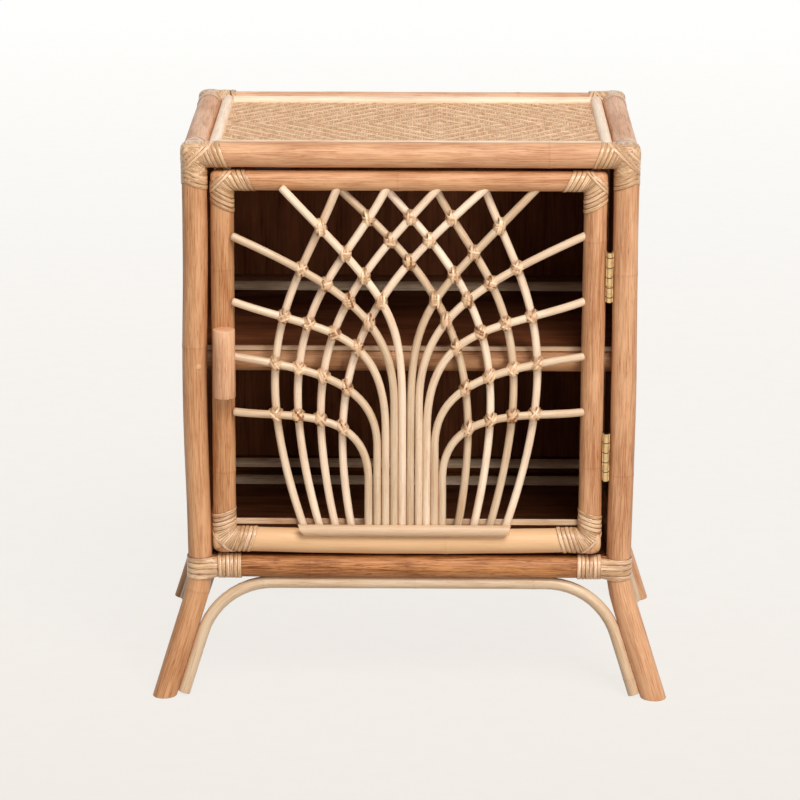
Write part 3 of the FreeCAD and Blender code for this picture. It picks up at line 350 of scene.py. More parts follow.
def brass_finish(name, tint, barrel_foot=None):
    """Lacquered brass, a little dulled, with painted shade in the gaps between the knuckles of a
    hinge.
    """
    tree, shader = new_finish(name)
    place = object_place(tree)
    wear = noise(place, (260, 260, 260), detail=4.0)
    paint = blend_colours(ramp(wear, 0.45, 0.75, 0, 0.8), tint, [part * 0.5 for part in tint])
    if barrel_foot:
        # Painted shade: near-black bands where the knuckles of a hinge meet.
        slit_shade = calc("PINGPONG", separate(place)[2] - barrel_foot, KNUCKLE / 2)
        paint = blend_colours(ramp(slit_shade, 0.2 * MM, 0.7 * MM), (0.03, 0.02, 0.01), paint)
    rub = noise(place, (2400, 2400, 500), detail=2.0)
    dress(shader, paint, ramp(wear, 0.3, 0.7, 0.28, 0.48), rub, 0.15, 0.1 * MM)
    shader.inputs["Metallic"].default_value = 0.9


def case_finish(name, tint):
    """Moulded plastic with a fine sparkle grain."""
    tree, shader = new_finish(name)
    place = object_place(tree)
    grain, slow = noise(place, (3200, 3200, 3200), detail=2.0), noise(place, (120, 120, 120))
    paint = blend_colours(ramp(slow, 0.35, 0.65), tint, [part * 0.75 for part in tint])
    dress(shader, paint, ramp(grain, 0.3, 0.7, 0.4, 0.55), grain, 0.2, 0.1 * MM)


# ---------------------------------------------------------------- shapes

class Route:
    """A line through close points, read by its length."""

    def __init__(self, points):
        self.points = np.array([tuple(point) for point in points], float)
        steps = np.linalg.norm(np.diff(self.points, axis=0), axis=1)
        self.marks = np.concatenate([[0], np.cumsum(steps)])
        self.length = self.marks[-1]

    def at(self, stations):
        return np.stack([np.interp(stations, self.marks, self.points[:, axis])
                         for axis in range(3)], axis=-1)


def unit(rows):
    return rows / np.linalg.norm(rows, axis=-1, keepdims=True)


class Shape:
    """Gathers the surfaces of one piece, with what its finish reads."""

    def __init__(self):
        self.corners, self.faces, self.grain, self.tone, self.knot = [], [], [], [], []

    def sweep(self, rings, grain, tone, knots_and_shade=None, closed=False):
        """A skin over rings of corners. Its ends are capped, or joined when it is closed."""
        rings = np.asarray(rings, float)
        count, sides = rings.shape[:2]
        first = len(self.corners)
        spans = count if closed else count - 1
        faces = []
        for i in range(spans):
            here, there = first + i * sides, first + ((i + 1) % count) * sides
            for k in range(sides):
                after = (k + 1) % sides
                faces.append((here + k, here + after, there + after, there + k))
        if not closed:
            faces.append(tuple(first + k for k in reversed(range(sides))))
            faces.append(tuple(first + (count - 1) * sides + k for k in range(sides)))
        flat = rings.reshape(-1, 3)
        heart = flat.mean(axis=0)
        quads = np.array([face for face in faces if len(face) == 4]) - first
        a, b, c, d = [flat[quads[:, k]] - heart for k in range(4)]
        bulk = (a * np.cross(b, c)).sum() + (a * np.cross(c, d)).sum()
        if bulk < 0:
            faces = [face[::-1] for face in faces]
        self.corners.extend(map(tuple, flat))
        self.faces.extend(faces)
        self.grain.extend(map(tuple, np.asarray(grain, float).reshape(-1, 3)))
        self.tone.extend([tone] * len(flat))
        marks = np.zeros(count) if knots_and_shade is None else np.asarray(knots_and_shade)
        self.knot.extend(np.repeat(marks, sides) if marks.ndim == 1 else marks.ravel())

    def mesh(self, name):
        made = bpy.data.meshes.new(name)
        made.from_pydata(self.corners, [], self.faces)
        for label, kind, field, values in (("grain", "FLOAT_VECTOR", "vector", self.grain),
                                           ("tone", "FLOAT", "value", self.tone),
                                           ("knot", "FLOAT", "value", self.knot)):
            layer = made.attributes.new(label, kind, "POINT")
            layer.data.foreach_set(field, np.array(values, np.float32).ravel())
        smooth(made)
        return made


def smooth(mesh, angle=42):
    """Rounds the shading, but keeps edges sharper than an angle."""
    mesh.polygons.foreach_set("use_smooth", [True] * len(mesh.polygons))
    mesh.set_sharp_from_angle(angle=math.radians(angle))
    mesh.update()


def piece(name, work, finish, body, slot, *nodes):
    """Puts a shape or a mesh in the scene: it rides on a body and stands for frame nodes."""
    mesh = work.mesh(name) if isinstance(work, Shape) else work
    made = bpy.data.objects.new(name, mesh)
    bpy.context.scene.collection.objects.link(made)
    mesh.materials.clear()
    mesh.materials.append(FINISHES[finish])
    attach(made, body)
    if nodes:
        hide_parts(*nodes)


CUT_BEVEL = 0.7 * MM
FOOT_CLEAR = 8 * MM
LAST_KNOT = 8 * MM
# Where rings of corners stand round a growth ring, in millimetres, and along a rounded end.
KNOT_STEPS = (-6, -3, -1.2, -0.4, 0.4, 1.2, 3, 6)
END_STEPS = (0.04, 0.12, 0.25, 0.45, 0.7, 1.0)
KNOT_SHADE, KNOT_SWELL = 0.9 * MM, 2.6 * MM


def end_share(distance, reach):
    """How much of its radius a pole has at a distance from its rounded end."""
    start = 0.9 if reach <= CUT_BEVEL else 0.3
    share = np.clip(distance / reach, 0, 1)
    return start + (1 - start) * (1 - (1 - share) ** 2.4) ** (1 / 2.4)


def tube(shape, points, diameter, seed, sides=28, step=14 * MM, knot_gap=(0.17, 0.36),
         ends=(CUT_BEVEL, CUT_BEVEL), tone=None, uneven=0.012, floor=False, taper=1.0):
    """A pole or cane along a line, a little uneven and thicker at its growth rings."""
    dice = random.Random(seed)
    route = Route(points)
    stations = list(np.linspace(0, route.length, max(3, int(route.length / step) + 1)))
    rings = []
    place = dice.uniform(0.2, 1) * knot_gap[1] if knot_gap else route.length
    while place < route.length - LAST_KNOT:
        rings.append(place)
        stations += [place + shift * MM for shift in KNOT_STEPS]
        place += dice.uniform(*knot_gap)
    for share in END_STEPS:
        stations += [ends[0] * share, route.length - ends[1] * share]
    if floor:
        stations = [s for s in stations if s <= CUT_BEVEL or s > FOOT_CLEAR]
    stations = np.unique(np.round([s for s in stations if 0 <= s <= route.length], 6))
    centres = route.at(stations)
    reach = 0.4 * MM
    along = unit(route.at(np.minimum(stations + reach, route.length))
                 - route.at(np.maximum(stations - reach, 0)))
    radii = diameter / 2 * np.interp(stations, [0, route.length], [taper, 1.0])
    waves = [(dice.uniform(0.07, 0.12), dice.random()), (dice.uniform(0.2, 0.35), dice.random())]
    for span, phase in waves:
        radii *= 1 + uneven / 2 * np.sin(2 * math.pi * (stations / span + phase))
    knots_and_shade = np.zeros(len(stations))
    for ring in rings:
        knots_and_shade = np.maximum(knots_and_shade, np.exp(-((stations - ring) / KNOT_SHADE) ** 2))
        radii *= 1 + 0.02 * np.exp(-((stations - ring) / KNOT_SWELL) ** 2)
    radii *= end_share(stations, ends[0]) * end_share(route.length - stations, ends[1])
    side = np.cross(along[0], (0, 0, 1) if abs(along[0][2]) < 0.8 else (0, 1, 0))
    side /= np.linalg.norm(side)
    angles = 2 * math.pi * np.arange(sides) / sides
    offset = dice.uniform(0, 40)
    hoops, grain = [], []
    for index, station in enumerate(stations):
        side = side - along[index] * side.dot(along[index])
        side /= np.linalg.norm(side)
        other = np.cross(along[index], side)
        spokes = np.outer(np.cos(angles), side) + np.outer(np.sin(angles), other)
        hoop = centres[index] + spokes * radii[index]
        if floor and stations[index] <= CUT_BEVEL:
            level = stations[index]
            hoop += np.outer((level - hoop[:, 2]) / along[index][2], along[index])
        hoops.append(hoop)
        grain.append(np.stack([np.cos(angles) * diameter / 2 + offset,
                               np.sin(angles) * diameter / 2,
                               np.full(sides, station + offset)], axis=-1))
    shape.sweep(hoops, grain, dice.random() if tone is None else tone, knots_and_shade)
    return shape


def arc_corner(before, corner, after, radius, count=24):
    """Points along the arc that rounds a corner off."""
    before, corner, after = Vector(before), Vector(corner), Vector(after)
    back, ahead = (before - corner).normalized(), (after - corner).normalized()
    turn = math.pi - back.angle(ahead)
    centre = corner + (back + ahead).normalized() * (radius / math.cos(turn / 2))
    start = corner + back * (radius * math.tan(turn / 2)) - centre
    axis = back.cross(ahead)
    return [centre + Matrix.Rotation(-turn * index / count, 3, axis) @ start
            for index in range(count + 1)]


def middle(label):
    low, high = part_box(label)
    return (low + high) / 2


# ---------------------------------------------------------------- poles

# How far a pole's end is rounded, and how far a rail reaches into the poles that hold it.
POST_CROWN, DOOR_CROWN, HANDLE_CROWN = 7 * MM, 5.5 * MM, 1.4 * MM
SOCKET, INNER_SOCKET = 4 * MM, 2 * MM


def settings(group):
    return getattr(bpy.context.scene, "table_" + group)


def post_place(side, end):
    """A post's axis above its knee: it stands where the base rails' axes meet."""
    return Vector((side * middle("base_rail_right").x, end * abs(middle("base_rail_back").y), 0))


def post_belly(side, share):
    """How far a post stands out sideways at a share of its height above the knee."""
    size = settings("poles")
    belly = size.left_belly if side < 0 else size.right_belly
    return side * belly * math.sin(math.pi * min(share / 0.8, 1)) ** 2


def make_post(label, side, end, seed, tone):
    size = settings("poles")
    axis = post_place(side, end)
    top = axis + UP * (middle("top_rail_front").z + size.top_rail / 2)
    knee = axis + UP * size.knee_height
    foot = axis + Vector((side * size.side_splay, end * size.front_splay, 0))
    points = [foot] + arc_corner(foot, knee, top, size.knee_radius) + [top]
    start = points[-2]
    del points[-2:]
    for share in np.linspace(0, 1, 25):
        points.append(start.lerp(top, share) + Vector((post_belly(side, share), 0, 0)))
    taper = size.left_taper if side < 0 else 1.0
    shape = tube(Shape(), points, size.post, seed, ends=(CUT_BEVEL, POST_CROWN),
                 floor=True, tone=tone, taper=taper)
    piece(label + "_pole", shape, "pole", "cabinet", "pole", label)


def straight_pole(label, axis, diameter, body, seed, finish="pole", slot="pole", grow=0.0,
                  ends=(CUT_BEVEL, CUT_BEVEL), bow=0.0, span=None, rise=0.0, tone=None):
    """A straight pole in a node's place. It grows at both ends to reach into what holds it."""
    low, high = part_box(label)
    start, stop = middle(label), middle(label)
    start[axis], stop[axis] = span or (low[axis] - grow, high[axis] + grow)
    points = [start.lerp(stop, share) for share in np.linspace(0, 1, 25)]
    for share, point in zip(np.linspace(-1, 1, 25), points):
        point.z += bow * (share ** 2 - 0.7) + rise
    shape = tube(Shape(), points, diameter, seed, ends=ends, tone=tone)
    piece(label + "_pole", shape, finish, body, slot, label)


class TABLE_OT_finishes(bpy.types.Operator):
    """Make the finishes of every piece"""
    bl_idname = "table.finishes"
    bl_label = "Finishes"

    def execute(self, context):
        paint = settings("finish")
        fibre_finish("pole", paint.pole, paint.pole_dark, flecks=0.35, streaks=0.6, rings=0.16,
                     coat=0.05, shine=0.22)
        fibre_finish("pale_pole", paint.pale, paint.pole, flecks=0.1, streaks=0.5, mottle=0.4,
                     rings=0.12, coat=0.05, shine=0.22)
        fibre_finish("base_pole", paint.base, paint.base_dark, flecks=0.8, streaks=0.8, rings=0.2,
                     coat=0.05, shine=0.22)
        fibre_finish("cane", paint.cane, paint.cane_dark, streaks=0.45, mottle=0.35, gloss=0.38,
                     rings=0.12)
        # Peel has no growth rings: here rings sets the painted shade at the edges of its strips and
        # strands.
        fibre_finish("peel", paint.peel, paint.peel_dark, gloss=0.28, coat=0.35, mottle=0.5,
                     relief=0.4, fine=1400, rings=1.0, flecks=0.8, streaks=0.6)
        # Woven strips have no growth rings: here rings sets the painted shade where they dip under.
        fibre_finish("weave", paint.weave, paint.weave_dark, gloss=0.4, mottle=0.6, fine=2200,
                     rings=0.45)
        # Painted shade on the board under the weave, for the shade between its strips.
        fibre_finish("weave_gap", paint.weave_gap, paint.board, "x", shine=0.1, coat=0)
        fibre_finish("brown_pole", paint.brown, paint.brown_dark, gloss=0.4, shine=0.2, coat=0)
        fibre_finish("shelf_pole", paint.shelf, paint.shelf_dark, shine=0.2, coat=0, rings=0.2)
        for axis in "xyz":
            fibre_finish("board_" + axis, paint.board, paint.board_dark, axis, gloss=0.6,
                         fine=520, mottle=0.6, coat=0, shine=0.06)
        fibre_finish("strip", paint.strip, paint.cane_dark, "x", mottle=0.35)
        fibre_finish("moulding", paint.moulding, paint.moulding_dark, "x", coat=0, shine=0.15)
        fibre_finish("backing", paint.backing, paint.moulding_dark, "x", mottle=0.8)
        brass_finish("brass", paint.brass)
        # The hinges get the paler brass, a painted highlight, with painted shade between the
        # knuckles.
        brass_finish("hinge_barrel", paint.barrel_highlight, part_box("hinge_pins")[0].z)
        case_finish("magnet_case", paint.case)
        return {"FINISHED"}


class TABLE_OT_frame_poles(bpy.types.Operator):
    """Make the corner posts and the rails of the cabinet"""
    bl_idname = "table.frame_poles"
    bl_label = "Posts and rails"

    def execute(self, context):
        size = settings("poles")
        seed = 100
        for end_name, end in (("front", -1), ("back", 1)):
            for side_name, side in (("left", -1), ("right", 1)):
                make_post(f"post_{end_name}_{side_name}", side, end, seed, 0.55 + 0.08 * side)
                seed += 1
        for level, diameter, tones in (("top", size.top_rail, (0.7, 1.0, 0.85, 0.95)),
                                       ("base", size.base_rail, (0.3, 0.5, 0.5, 0.5))):
            for (name, axis), tone in zip((("front", 0), ("back", 0), ("left", 1), ("right", 1)),
                                          tones):
                rise = -size.settle if level == "base" or name == "back" else 0
                straight_pole(f"{level}_rail_{name}", axis, diameter, "cabinet", seed,
                              "pole" if level == "top" else "base_pole", grow=SOCKET, rise=rise,
                              tone=tone)
                seed += 1
        for label, diameter, finish in (("floor_rail_back", size.inner_rail, "brown_pole"),
                                        ("shelf_rail_back", size.inner_rail, "brown_pole"),
                                        ("shelf_rail_front", size.shelf_rail, "shelf_pole")):
            straight_pole(label, 0, diameter, "cabinet", seed, finish, "brown_pole",
                          grow=0 if label == "shelf_rail_front" else INNER_SOCKET)
            seed += 1
        return {"FINISHED"}


def stile_place(side, height):
    """A point on a stile's axis. The left stile leans out a little towards its foot."""
    label = f"door_stile_{side}"
    low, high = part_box(label)
    spot = Vector((middle(label).x, middle(label).y, height))
    if side == "left":
        share = (high.z - height) / (high.z - low.z)
        spot.x -= settings("poles").stile_lean * (0.3 + 0.7 * share)
    return spot


class TABLE_OT_door_poles(bpy.types.Operator):
    """Make the door's uprights, rails and handle"""
    bl_idname = "table.door_poles"
    bl_label = "Door poles"

    def execute(self, context):
        size = settings("poles")
        ends = (DOOR_CROWN, DOOR_CROWN)
        for seed, (side, tone) in enumerate((("left", 0.4), ("right", 0.6)), start=200):
            label = f"door_stile_{side}"
            low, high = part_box(label)
            points = [stile_place(side, z) for z in np.linspace(low.z, high.z, 25)]
            shape = tube(Shape(), points, size.stile, seed, tone=tone, ends=ends)
            piece(label + "_pole", shape, "pole", "door", "pole", label)
        span = (middle("door_stile_left").x - size.stile / 2,
                middle("door_stile_right").x + size.stile / 2)
        straight_pole("door_rail_top", 0, size.door_top, "door", 210, span=span, tone=0.55,
                      ends=ends)
        span = (stile_place("left", middle("door_rail_bottom").z).x - size.stile / 2, span[1])
        straight_pole("door_rail_bottom", 0, size.door_bottom, "door", 211, "pale_pole",
                      span=span, tone=0.45, ends=ends, bow=size.bow)
        low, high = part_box("door_handle")
        axis_x, axis_y = (low.x + high.x) / 2, low.y + size.handle / 2
        points = [Vector((axis_x, axis_y, z + size.handle_rise))
                  for z in np.linspace(low.z, high.z, 9)]
        shape = tube(Shape(), points, size.handle, 221, sides=40, knot_gap=None, tone=0.8,
                     ends=(HANDLE_CROWN, HANDLE_CROWN))
        piece("door_handle_pole", shape, "pole", "door", "pole", "door_handle")
        return {"FINISHED"}


ARCH_HUG = 1 * MM
TOE_CLEAR = 3 * MM


class TABLE_OT_leg_arches(bpy.types.Operator):
    """Make the canes that arch from leg to leg under the base rails"""
    bl_idname = "table.leg_arches"
    bl_label = "Leg arches"

    def execute(self, context):
        size = settings("poles")
        post = post_place(1, 1)
        for seed, (name, turn) in enumerate((("front", 0), ("right", 90), ("back", 180),
                                             ("left", 270)), start=300):
            ahead = name in ("front", "back")
            half_span, splay = (post.x, size.side_splay) if ahead else (post.y, size.front_splay)
            tilt, out = (size.front_splay, post.y) if ahead else (size.side_splay, post.x)
            drop = math.hypot(size.knee_height, tilt)
            lean = math.atan2(splay, drop)
            hug = (size.post + size.arch) / 2 - ARCH_HUG
            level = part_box("base_rail_front")[0].z - size.settle - size.arch / 2 - size.knee_height
            corner_x = half_span - hug / math.cos(lean) - level * math.tan(lean)
            drawn = drop - TOE_CLEAR
            toe_x = corner_x + (level + drawn) * math.tan(lean)
            corners = [Vector((side * corner_x, 0, level)) for side in (-1, 1)]
            toes = [Vector((side * toe_x, 0, -drawn)) for side in (-1, 1)]
            flat = ([toes[0]] + arc_corner(toes[0], corners[0], corners[1], size.arch_radius)
                    + arc_corner(corners[0], corners[1], toes[1], size.arch_radius) + [toes[1]])
            spin = (Matrix.Rotation(math.radians(turn), 4, "Z")
                    @ Matrix.Translation((0, -out, size.knee_height))
                    @ Matrix.Rotation(-math.atan2(tilt, size.knee_height), 4, "X"))
            label = f"leg_arch_{name}"
            shape = tube(Shape(), [spin @ point for point in flat], size.arch, seed, sides=20,
                         step=9 * MM, knot_gap=(0.12, 0.22), tone=0.05)
            piece(label + "_cane", shape, "cane", "cabinet", "cane", label)
        return {"FINISHED"}


# ---------------------------------------------------------------- grille

# Each rising cane: lean in degrees and pull where it leaves the sill, then offset, lean and pull
# where it meets the top rail. Pulls are shares of the fan's height, offsets of its half width.
RISING = [
    (18, 0.590, 0.427, -21, 0.302),
    (15, 0.662, 0.146, -27, 0.288),
    (12, 0.547, -0.140, -42, 0.403),
    (10, 0.547, -0.409, -47, 0.388),
]
# Each crossing cane: height and pull where it leaves the bundle, then height, lean and pull where
# it meets the stile. The last one meets the top rail, at an offset.
CROSSING = [
    (0.152, 0.224, 0.356, 83, 0.150),
    (0.253, 0.187, 0.520, 81, 0.242),
    (0.296, 0.322, 0.681, 70, 0.259),
    (0.376, 0.247, 0.871, 65, 0.351),
]
CROWN = (0.333, 0.322, 0.708, 43, 0.446)
FAN_ASPECT = 0.492
CROWN_LEVEL = 0.779
CURVE_STEPS = 60


class Fan:
    """The two fans of canes, drawn flat and set in two leaning layers."""

    def __init__(self):
        self.size, poles = settings("grille"), settings("poles")
        left, right = middle("door_stile_left"), middle("door_stile_right")
        self.middle = (left.x + right.x) / 2
        self.half = (right.x - left.x - poles.stile) / 2
        self.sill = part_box("door_rail_bottom")[1].z
        self.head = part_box("door_rail_top")[0].z
        self.rise = self.head - self.sill
        self.plane = left.y
        layer, crown = self.size.layer, CROWN_LEVEL * self.rise
        self.tilt = {-1: math.atan2(layer / 3, crown), 1: -math.atan2(layer * 2 / 3, crown)}

    def pull(self, lean, share, side):
        across = math.sin(math.radians(lean)) * self.half / FAN_ASPECT
        return Vector((side * across, 0, math.cos(math.radians(lean)) * self.rise)) * share

    def axis(self, height):
        return (self.middle + self.size.centre
                + self.size.lean * (height - self.sill) / self.rise)

    def curve(self, start, start_pull, finish, finish_pull):
        points = []
        for share in np.linspace(0, 1, CURVE_STEPS + 1):
            rest = 1 - share
            points.append(start * rest ** 3 + (start + start_pull) * (3 * rest ** 2 * share)
                          + (finish - finish_pull) * (3 * rest * share ** 2) + finish * share ** 3)
        return points

    def place(self, points, depth, side):
        tilt = self.tilt[side]
        return [Vector((point.x, self.plane + depth - (point.z - self.sill) * math.sin(tilt),
                        self.sill + (point.z - self.sill) * math.cos(tilt))) for point in points]

    def rising(self, index, side):
        lean, lead, head_offset, head_lean, head_lead = RISING[index]
        offset = self.size.pitch * 6.5 + self.size.outer_pitch * (len(RISING) - 1 - index)
        foot = Vector((self.axis(self.sill) + side * offset, 0, self.sill))
        head = Vector((self.axis(self.head) + side * head_offset * self.half, 0, self.head))
        points = self.curve(foot, self.pull(lean, lead, side),
                            head, self.pull(head_lean, head_lead, side))
        points.append(head + (head - points[-2]).normalized() * self.size.cane)
        return self.place(points, 0, side)

    def crossing(self, index, side):
        crown = index == len(CROSSING)
        turn, lead, end, end_lean, end_lead = CROWN if crown else CROSSING[index]
        offset = self.size.pitch * (len(CROSSING) + 0.5 - index)
        level = self.sill + turn * self.rise
        start = Vector((self.axis(level) + side * offset, 0, level))
        if crown:
            finish = Vector((self.axis(self.head) + side * end * self.half, 0, self.head))
        else:
            finish = Vector((self.middle + side * self.half, 0, self.sill + end * self.rise))
        points = self.curve(start, self.pull(0, lead, side),
                            finish, self.pull(end_lean, end_lead, side))
        foot = [Vector((start.x, 0, self.sill + (level - self.sill) * share))
                for share in (0, 0.25, 0.5, 0.75)]
        past = self.size.cane * (1.0 if crown else 0.5)
        points.append(finish + (finish - points[-2]).normalized() * past)
        return self.place(foot + points, -self.size.layer, side)


def crossing_of(first, second):
    """Where two lines cross as seen from the front: two points and two directions, or None."""
    a, b = (np.array([tuple(point) for point in line]) for line in (first, second))
    start, step = a[:-1][:, [0, 2]], np.diff(a, axis=0)[:, [0, 2]]
    other, other_step = b[:-1][:, [0, 2]], np.diff(b, axis=0)[:, [0, 2]]
    spread = np.outer(step[:, 0], other_step[:, 1]) - np.outer(step[:, 1], other_step[:, 0])
    between = other[None] - start[:, None]
    spread[spread == 0] = 1e-12
    share = (between[..., 0] * other_step[None, :, 1]
             - between[..., 1] * other_step[None, :, 0]) / spread
    other_share = (between[..., 0] * step[:, None, 1] - between[..., 1] * step[:, None, 0]) / spread
    hits = np.argwhere((share >= 0) & (share < 1) & (other_share >= 0) & (other_share < 1))
    if not len(hits):
        return None
    i, j = hits[0]
    one = a[i] + (a[i + 1] - a[i]) * share[i, j]
    two = b[j] + (b[j + 1] - b[j]) * other_share[i, j]
    return (Vector(one), Vector(two), Vector(a[i + 1] - a[i]).normalized(),
            Vector(b[j + 1] - b[j]).normalized())


class TABLE_OT_grille(bpy.types.Operator):
    """Make the door's two fans of bent canes"""
    bl_idname = "table.grille"
    bl_label = "Grille canes"

    def execute(self, context):
        fan = Fan()
        seed = 400
        for side_name, side in (("left", -1), ("right", 1)):
            for kind, count in (("rising", len(RISING)), ("crossing", len(CROSSING) + 1)):
                shape = Shape()
                for index in range(count):
                    line = getattr(fan, kind)(index, side)
                    tube(shape, line, fan.size.cane, seed, sides=18, step=7 * MM,
                         knot_gap=(0.13, 0.24), uneven=0.03, ends=(CUT_BEVEL, 3 * MM))
                    seed += 1
                label = f"{kind}_canes_{side_name}"
                piece(label + "_bent", shape, "cane", "door", "cane", label)
        return {"FINISHED"}


def new_tree(name, **inputs):
    """A geometry tree with named inputs, as (tree, its inputs by name)."""
    tree = bpy.data.node_groups.new(name, "GeometryNodeTree")
    sides = [("Geometry", "INPUT", "Geometry"), ("Material", "INPUT", "Material"),
             *((label, "INPUT", kind) for label, kind in inputs.items()),
             ("Geometry", "OUTPUT", "Geometry")]
    for label, side, kind in sides:
        tree.interface.new_socket(label, in_out=side, socket_type="NodeSocket" + kind)
    given = tree.nodes.new("NodeGroupInput").outputs
    return tree, {socket.name: Wire(tree, socket) for socket in given}


# How far the grain moves on with a piece's tone, so that no two strips share their streaks.
GRAIN_SHIFT = (7.3, 31)


def end_tree(tree, geometry, material):
    """Turns instances into a mesh, gives it its finish and ends the tree."""
    real = read(tree, "GeometryNodeRealizeInstances", {0: geometry})
    tone = named(tree, "tone", "FLOAT")
    grain = vector_calc("ADD", named(tree, "grain", "FLOAT_VECTOR"),
                        combine(tone * GRAIN_SHIFT[0], 0, tone * GRAIN_SHIFT[1]))
    done = read(tree, "GeometryNodeSetMaterial",
                {"Geometry": store(real, "grain", "FLOAT_VECTOR", grain), "Material": material})
    feed(tree.nodes.new("NodeGroupOutput").inputs[0], done)


def named(tree, label, kind):
    return read(tree, "GeometryNodeInputNamedAttribute", {"Name": label}, data_type=kind)


def store(geometry, label, kind, value, domain="POINT"):
    return read(geometry.tree, "GeometryNodeStoreNamedAttribute",
                {"Geometry": geometry, "Name": label, "Value": value},
                data_type=kind, domain=domain)


def position(tree):
    return read(tree, "GeometryNodeInputPosition")


def chance(tree, low, high, seed):
    """A random value, or a random vector, for each instance."""
    flat = isinstance(low, float)
    keys = (2, 3) if flat else (0, 1)
    return read(tree, "FunctionNodeRandomValue", {keys[0]: low, keys[1]: high, "Seed": seed},
                1 if flat else 0, data_type="FLOAT" if flat else "FLOAT_VECTOR")


def grow_mesh(name, tree, values, source=None):
    """Runs a geometry tree on a mesh and returns the plain mesh that it makes."""
    holder = bpy.data.objects.new(name + "_source", source or bpy.data.meshes.new(name))
    bpy.context.scene.collection.objects.link(holder)
    modifier = holder.modifiers.new(name, "NODES")
    modifier.node_group = tree
    for item in tree.interface.items_tree:
        if item.in_out == "INPUT" and item.name in values:
            modifier[item.identifier] = values[item.name]
    bpy.context.view_layer.update()
    live = holder.evaluated_get(bpy.context.evaluated_depsgraph_get())
    made = bpy.data.meshes.new_from_object(live)
    holder.modifiers.clear()
    bpy.data.objects.remove(holder)
    made.name = name
    if not made.polygons:
        raise RuntimeError(f"{name}: the tree made nothing")
    outwards(made)
    smooth(made)
    return made


def outwards(mesh):
    """Turns every closed shell of a mesh outwards."""
    work = bmesh.new()
    work.from_mesh(mesh)
    if work.calc_volume(signed=True) < 0:
        bmesh.ops.reverse_faces(work, faces=work.faces[:])
    work.to_mesh(mesh)
    work.free()


def signed_power(value, power):
    return calc("SIGN", value) * abs(value) ** power


# A lashing's loop and its strands are rounded squares: 1 is round, and less is squarer.
LOOP_POWER, STRAND_POWER = 0.66, 0.7


def lashing_tree():
    """A strand of peel round two canes, one at each point, turned and stretched as it says."""
    tree, given = new_tree("Lashing strands", Strand="Float", Thickness="Float", Reach="Float",
                           Depth="Float", Seed="Int")
    grid = read(tree, "GeometryNodeMeshGrid", {"Size X": 1.0, "Size Y": 1.0, "Vertices X": 19,
                                               "Vertices Y": 7})
    turn, roll = ((way + 0.5) * (2 * math.pi) for way in separate(position(tree))[:2])
    loop = combine(signed_power(calc("COSINE", turn), LOOP_POWER) * given["Reach"],
                   signed_power(calc("SINE", turn), LOOP_POWER) * given["Depth"], 0.0)
    swell = calc("COSINE", roll) * (given["Thickness"] * 0.5)
    lifted = read(tree, "ShaderNodeVectorMath",
                  {0: vector_calc("NORMALIZE", loop), "Scale": swell}, operation="SCALE")
    wide = signed_power(calc("SINE", roll), STRAND_POWER) * (given["Strand"] * 0.5)
    spot = vector_calc("ADD", vector_calc("ADD", loop, lifted), combine(0.0, 0.0, wide))
    strand = read(tree, "GeometryNodeSetPosition", {"Geometry": grid, "Position": spot})
    strand = store(strand, "grain", "FLOAT_VECTOR", combine(wide, swell, turn * given["Depth"]))
    # Painted shade along the strand's edges, where it meets the next strand.
    strand = store(strand, "knot", "FLOAT", abs(calc("SINE", roll)) ** 5.0)
    strand = read(tree, "GeometryNodeMergeByDistance",
                  {"Geometry": strand, "Distance": 0.02 * MM})
    sway = chance(tree, (-0.05, -0.13, -0.16), (0.05, 0.13, 0.16), given["Seed"])
    placed = read(tree, "GeometryNodeInstanceOnPoints",
                  {"Points": given["Geometry"], "Instance": strand,
                   "Rotation": vector_calc("ADD", combine(0.0, named(tree, "turn", "FLOAT"), 0.0),
                                           sway),
                   "Scale": combine(named(tree, "stretch", "FLOAT"),
                                    chance(tree, 0.97, 1.08, 4), 1.0)})
    placed = store(placed, "tone", "FLOAT", chance(tree, 0.2, 1.0, 9), "INSTANCE")
    end_tree(tree, placed, given["Material"])
    return tree


# A lashing's reach as a share of a cane, its slack round the canes, the least share of a cane
# that a loop allows for at a flat crossing, and the share of a strand from one to the next.
LASHING_REACH, LASHING_SLACK, LEAST_CROSSING, STRAND_STEP = 0.72, 0.9 * MM, 0.55, 0.98


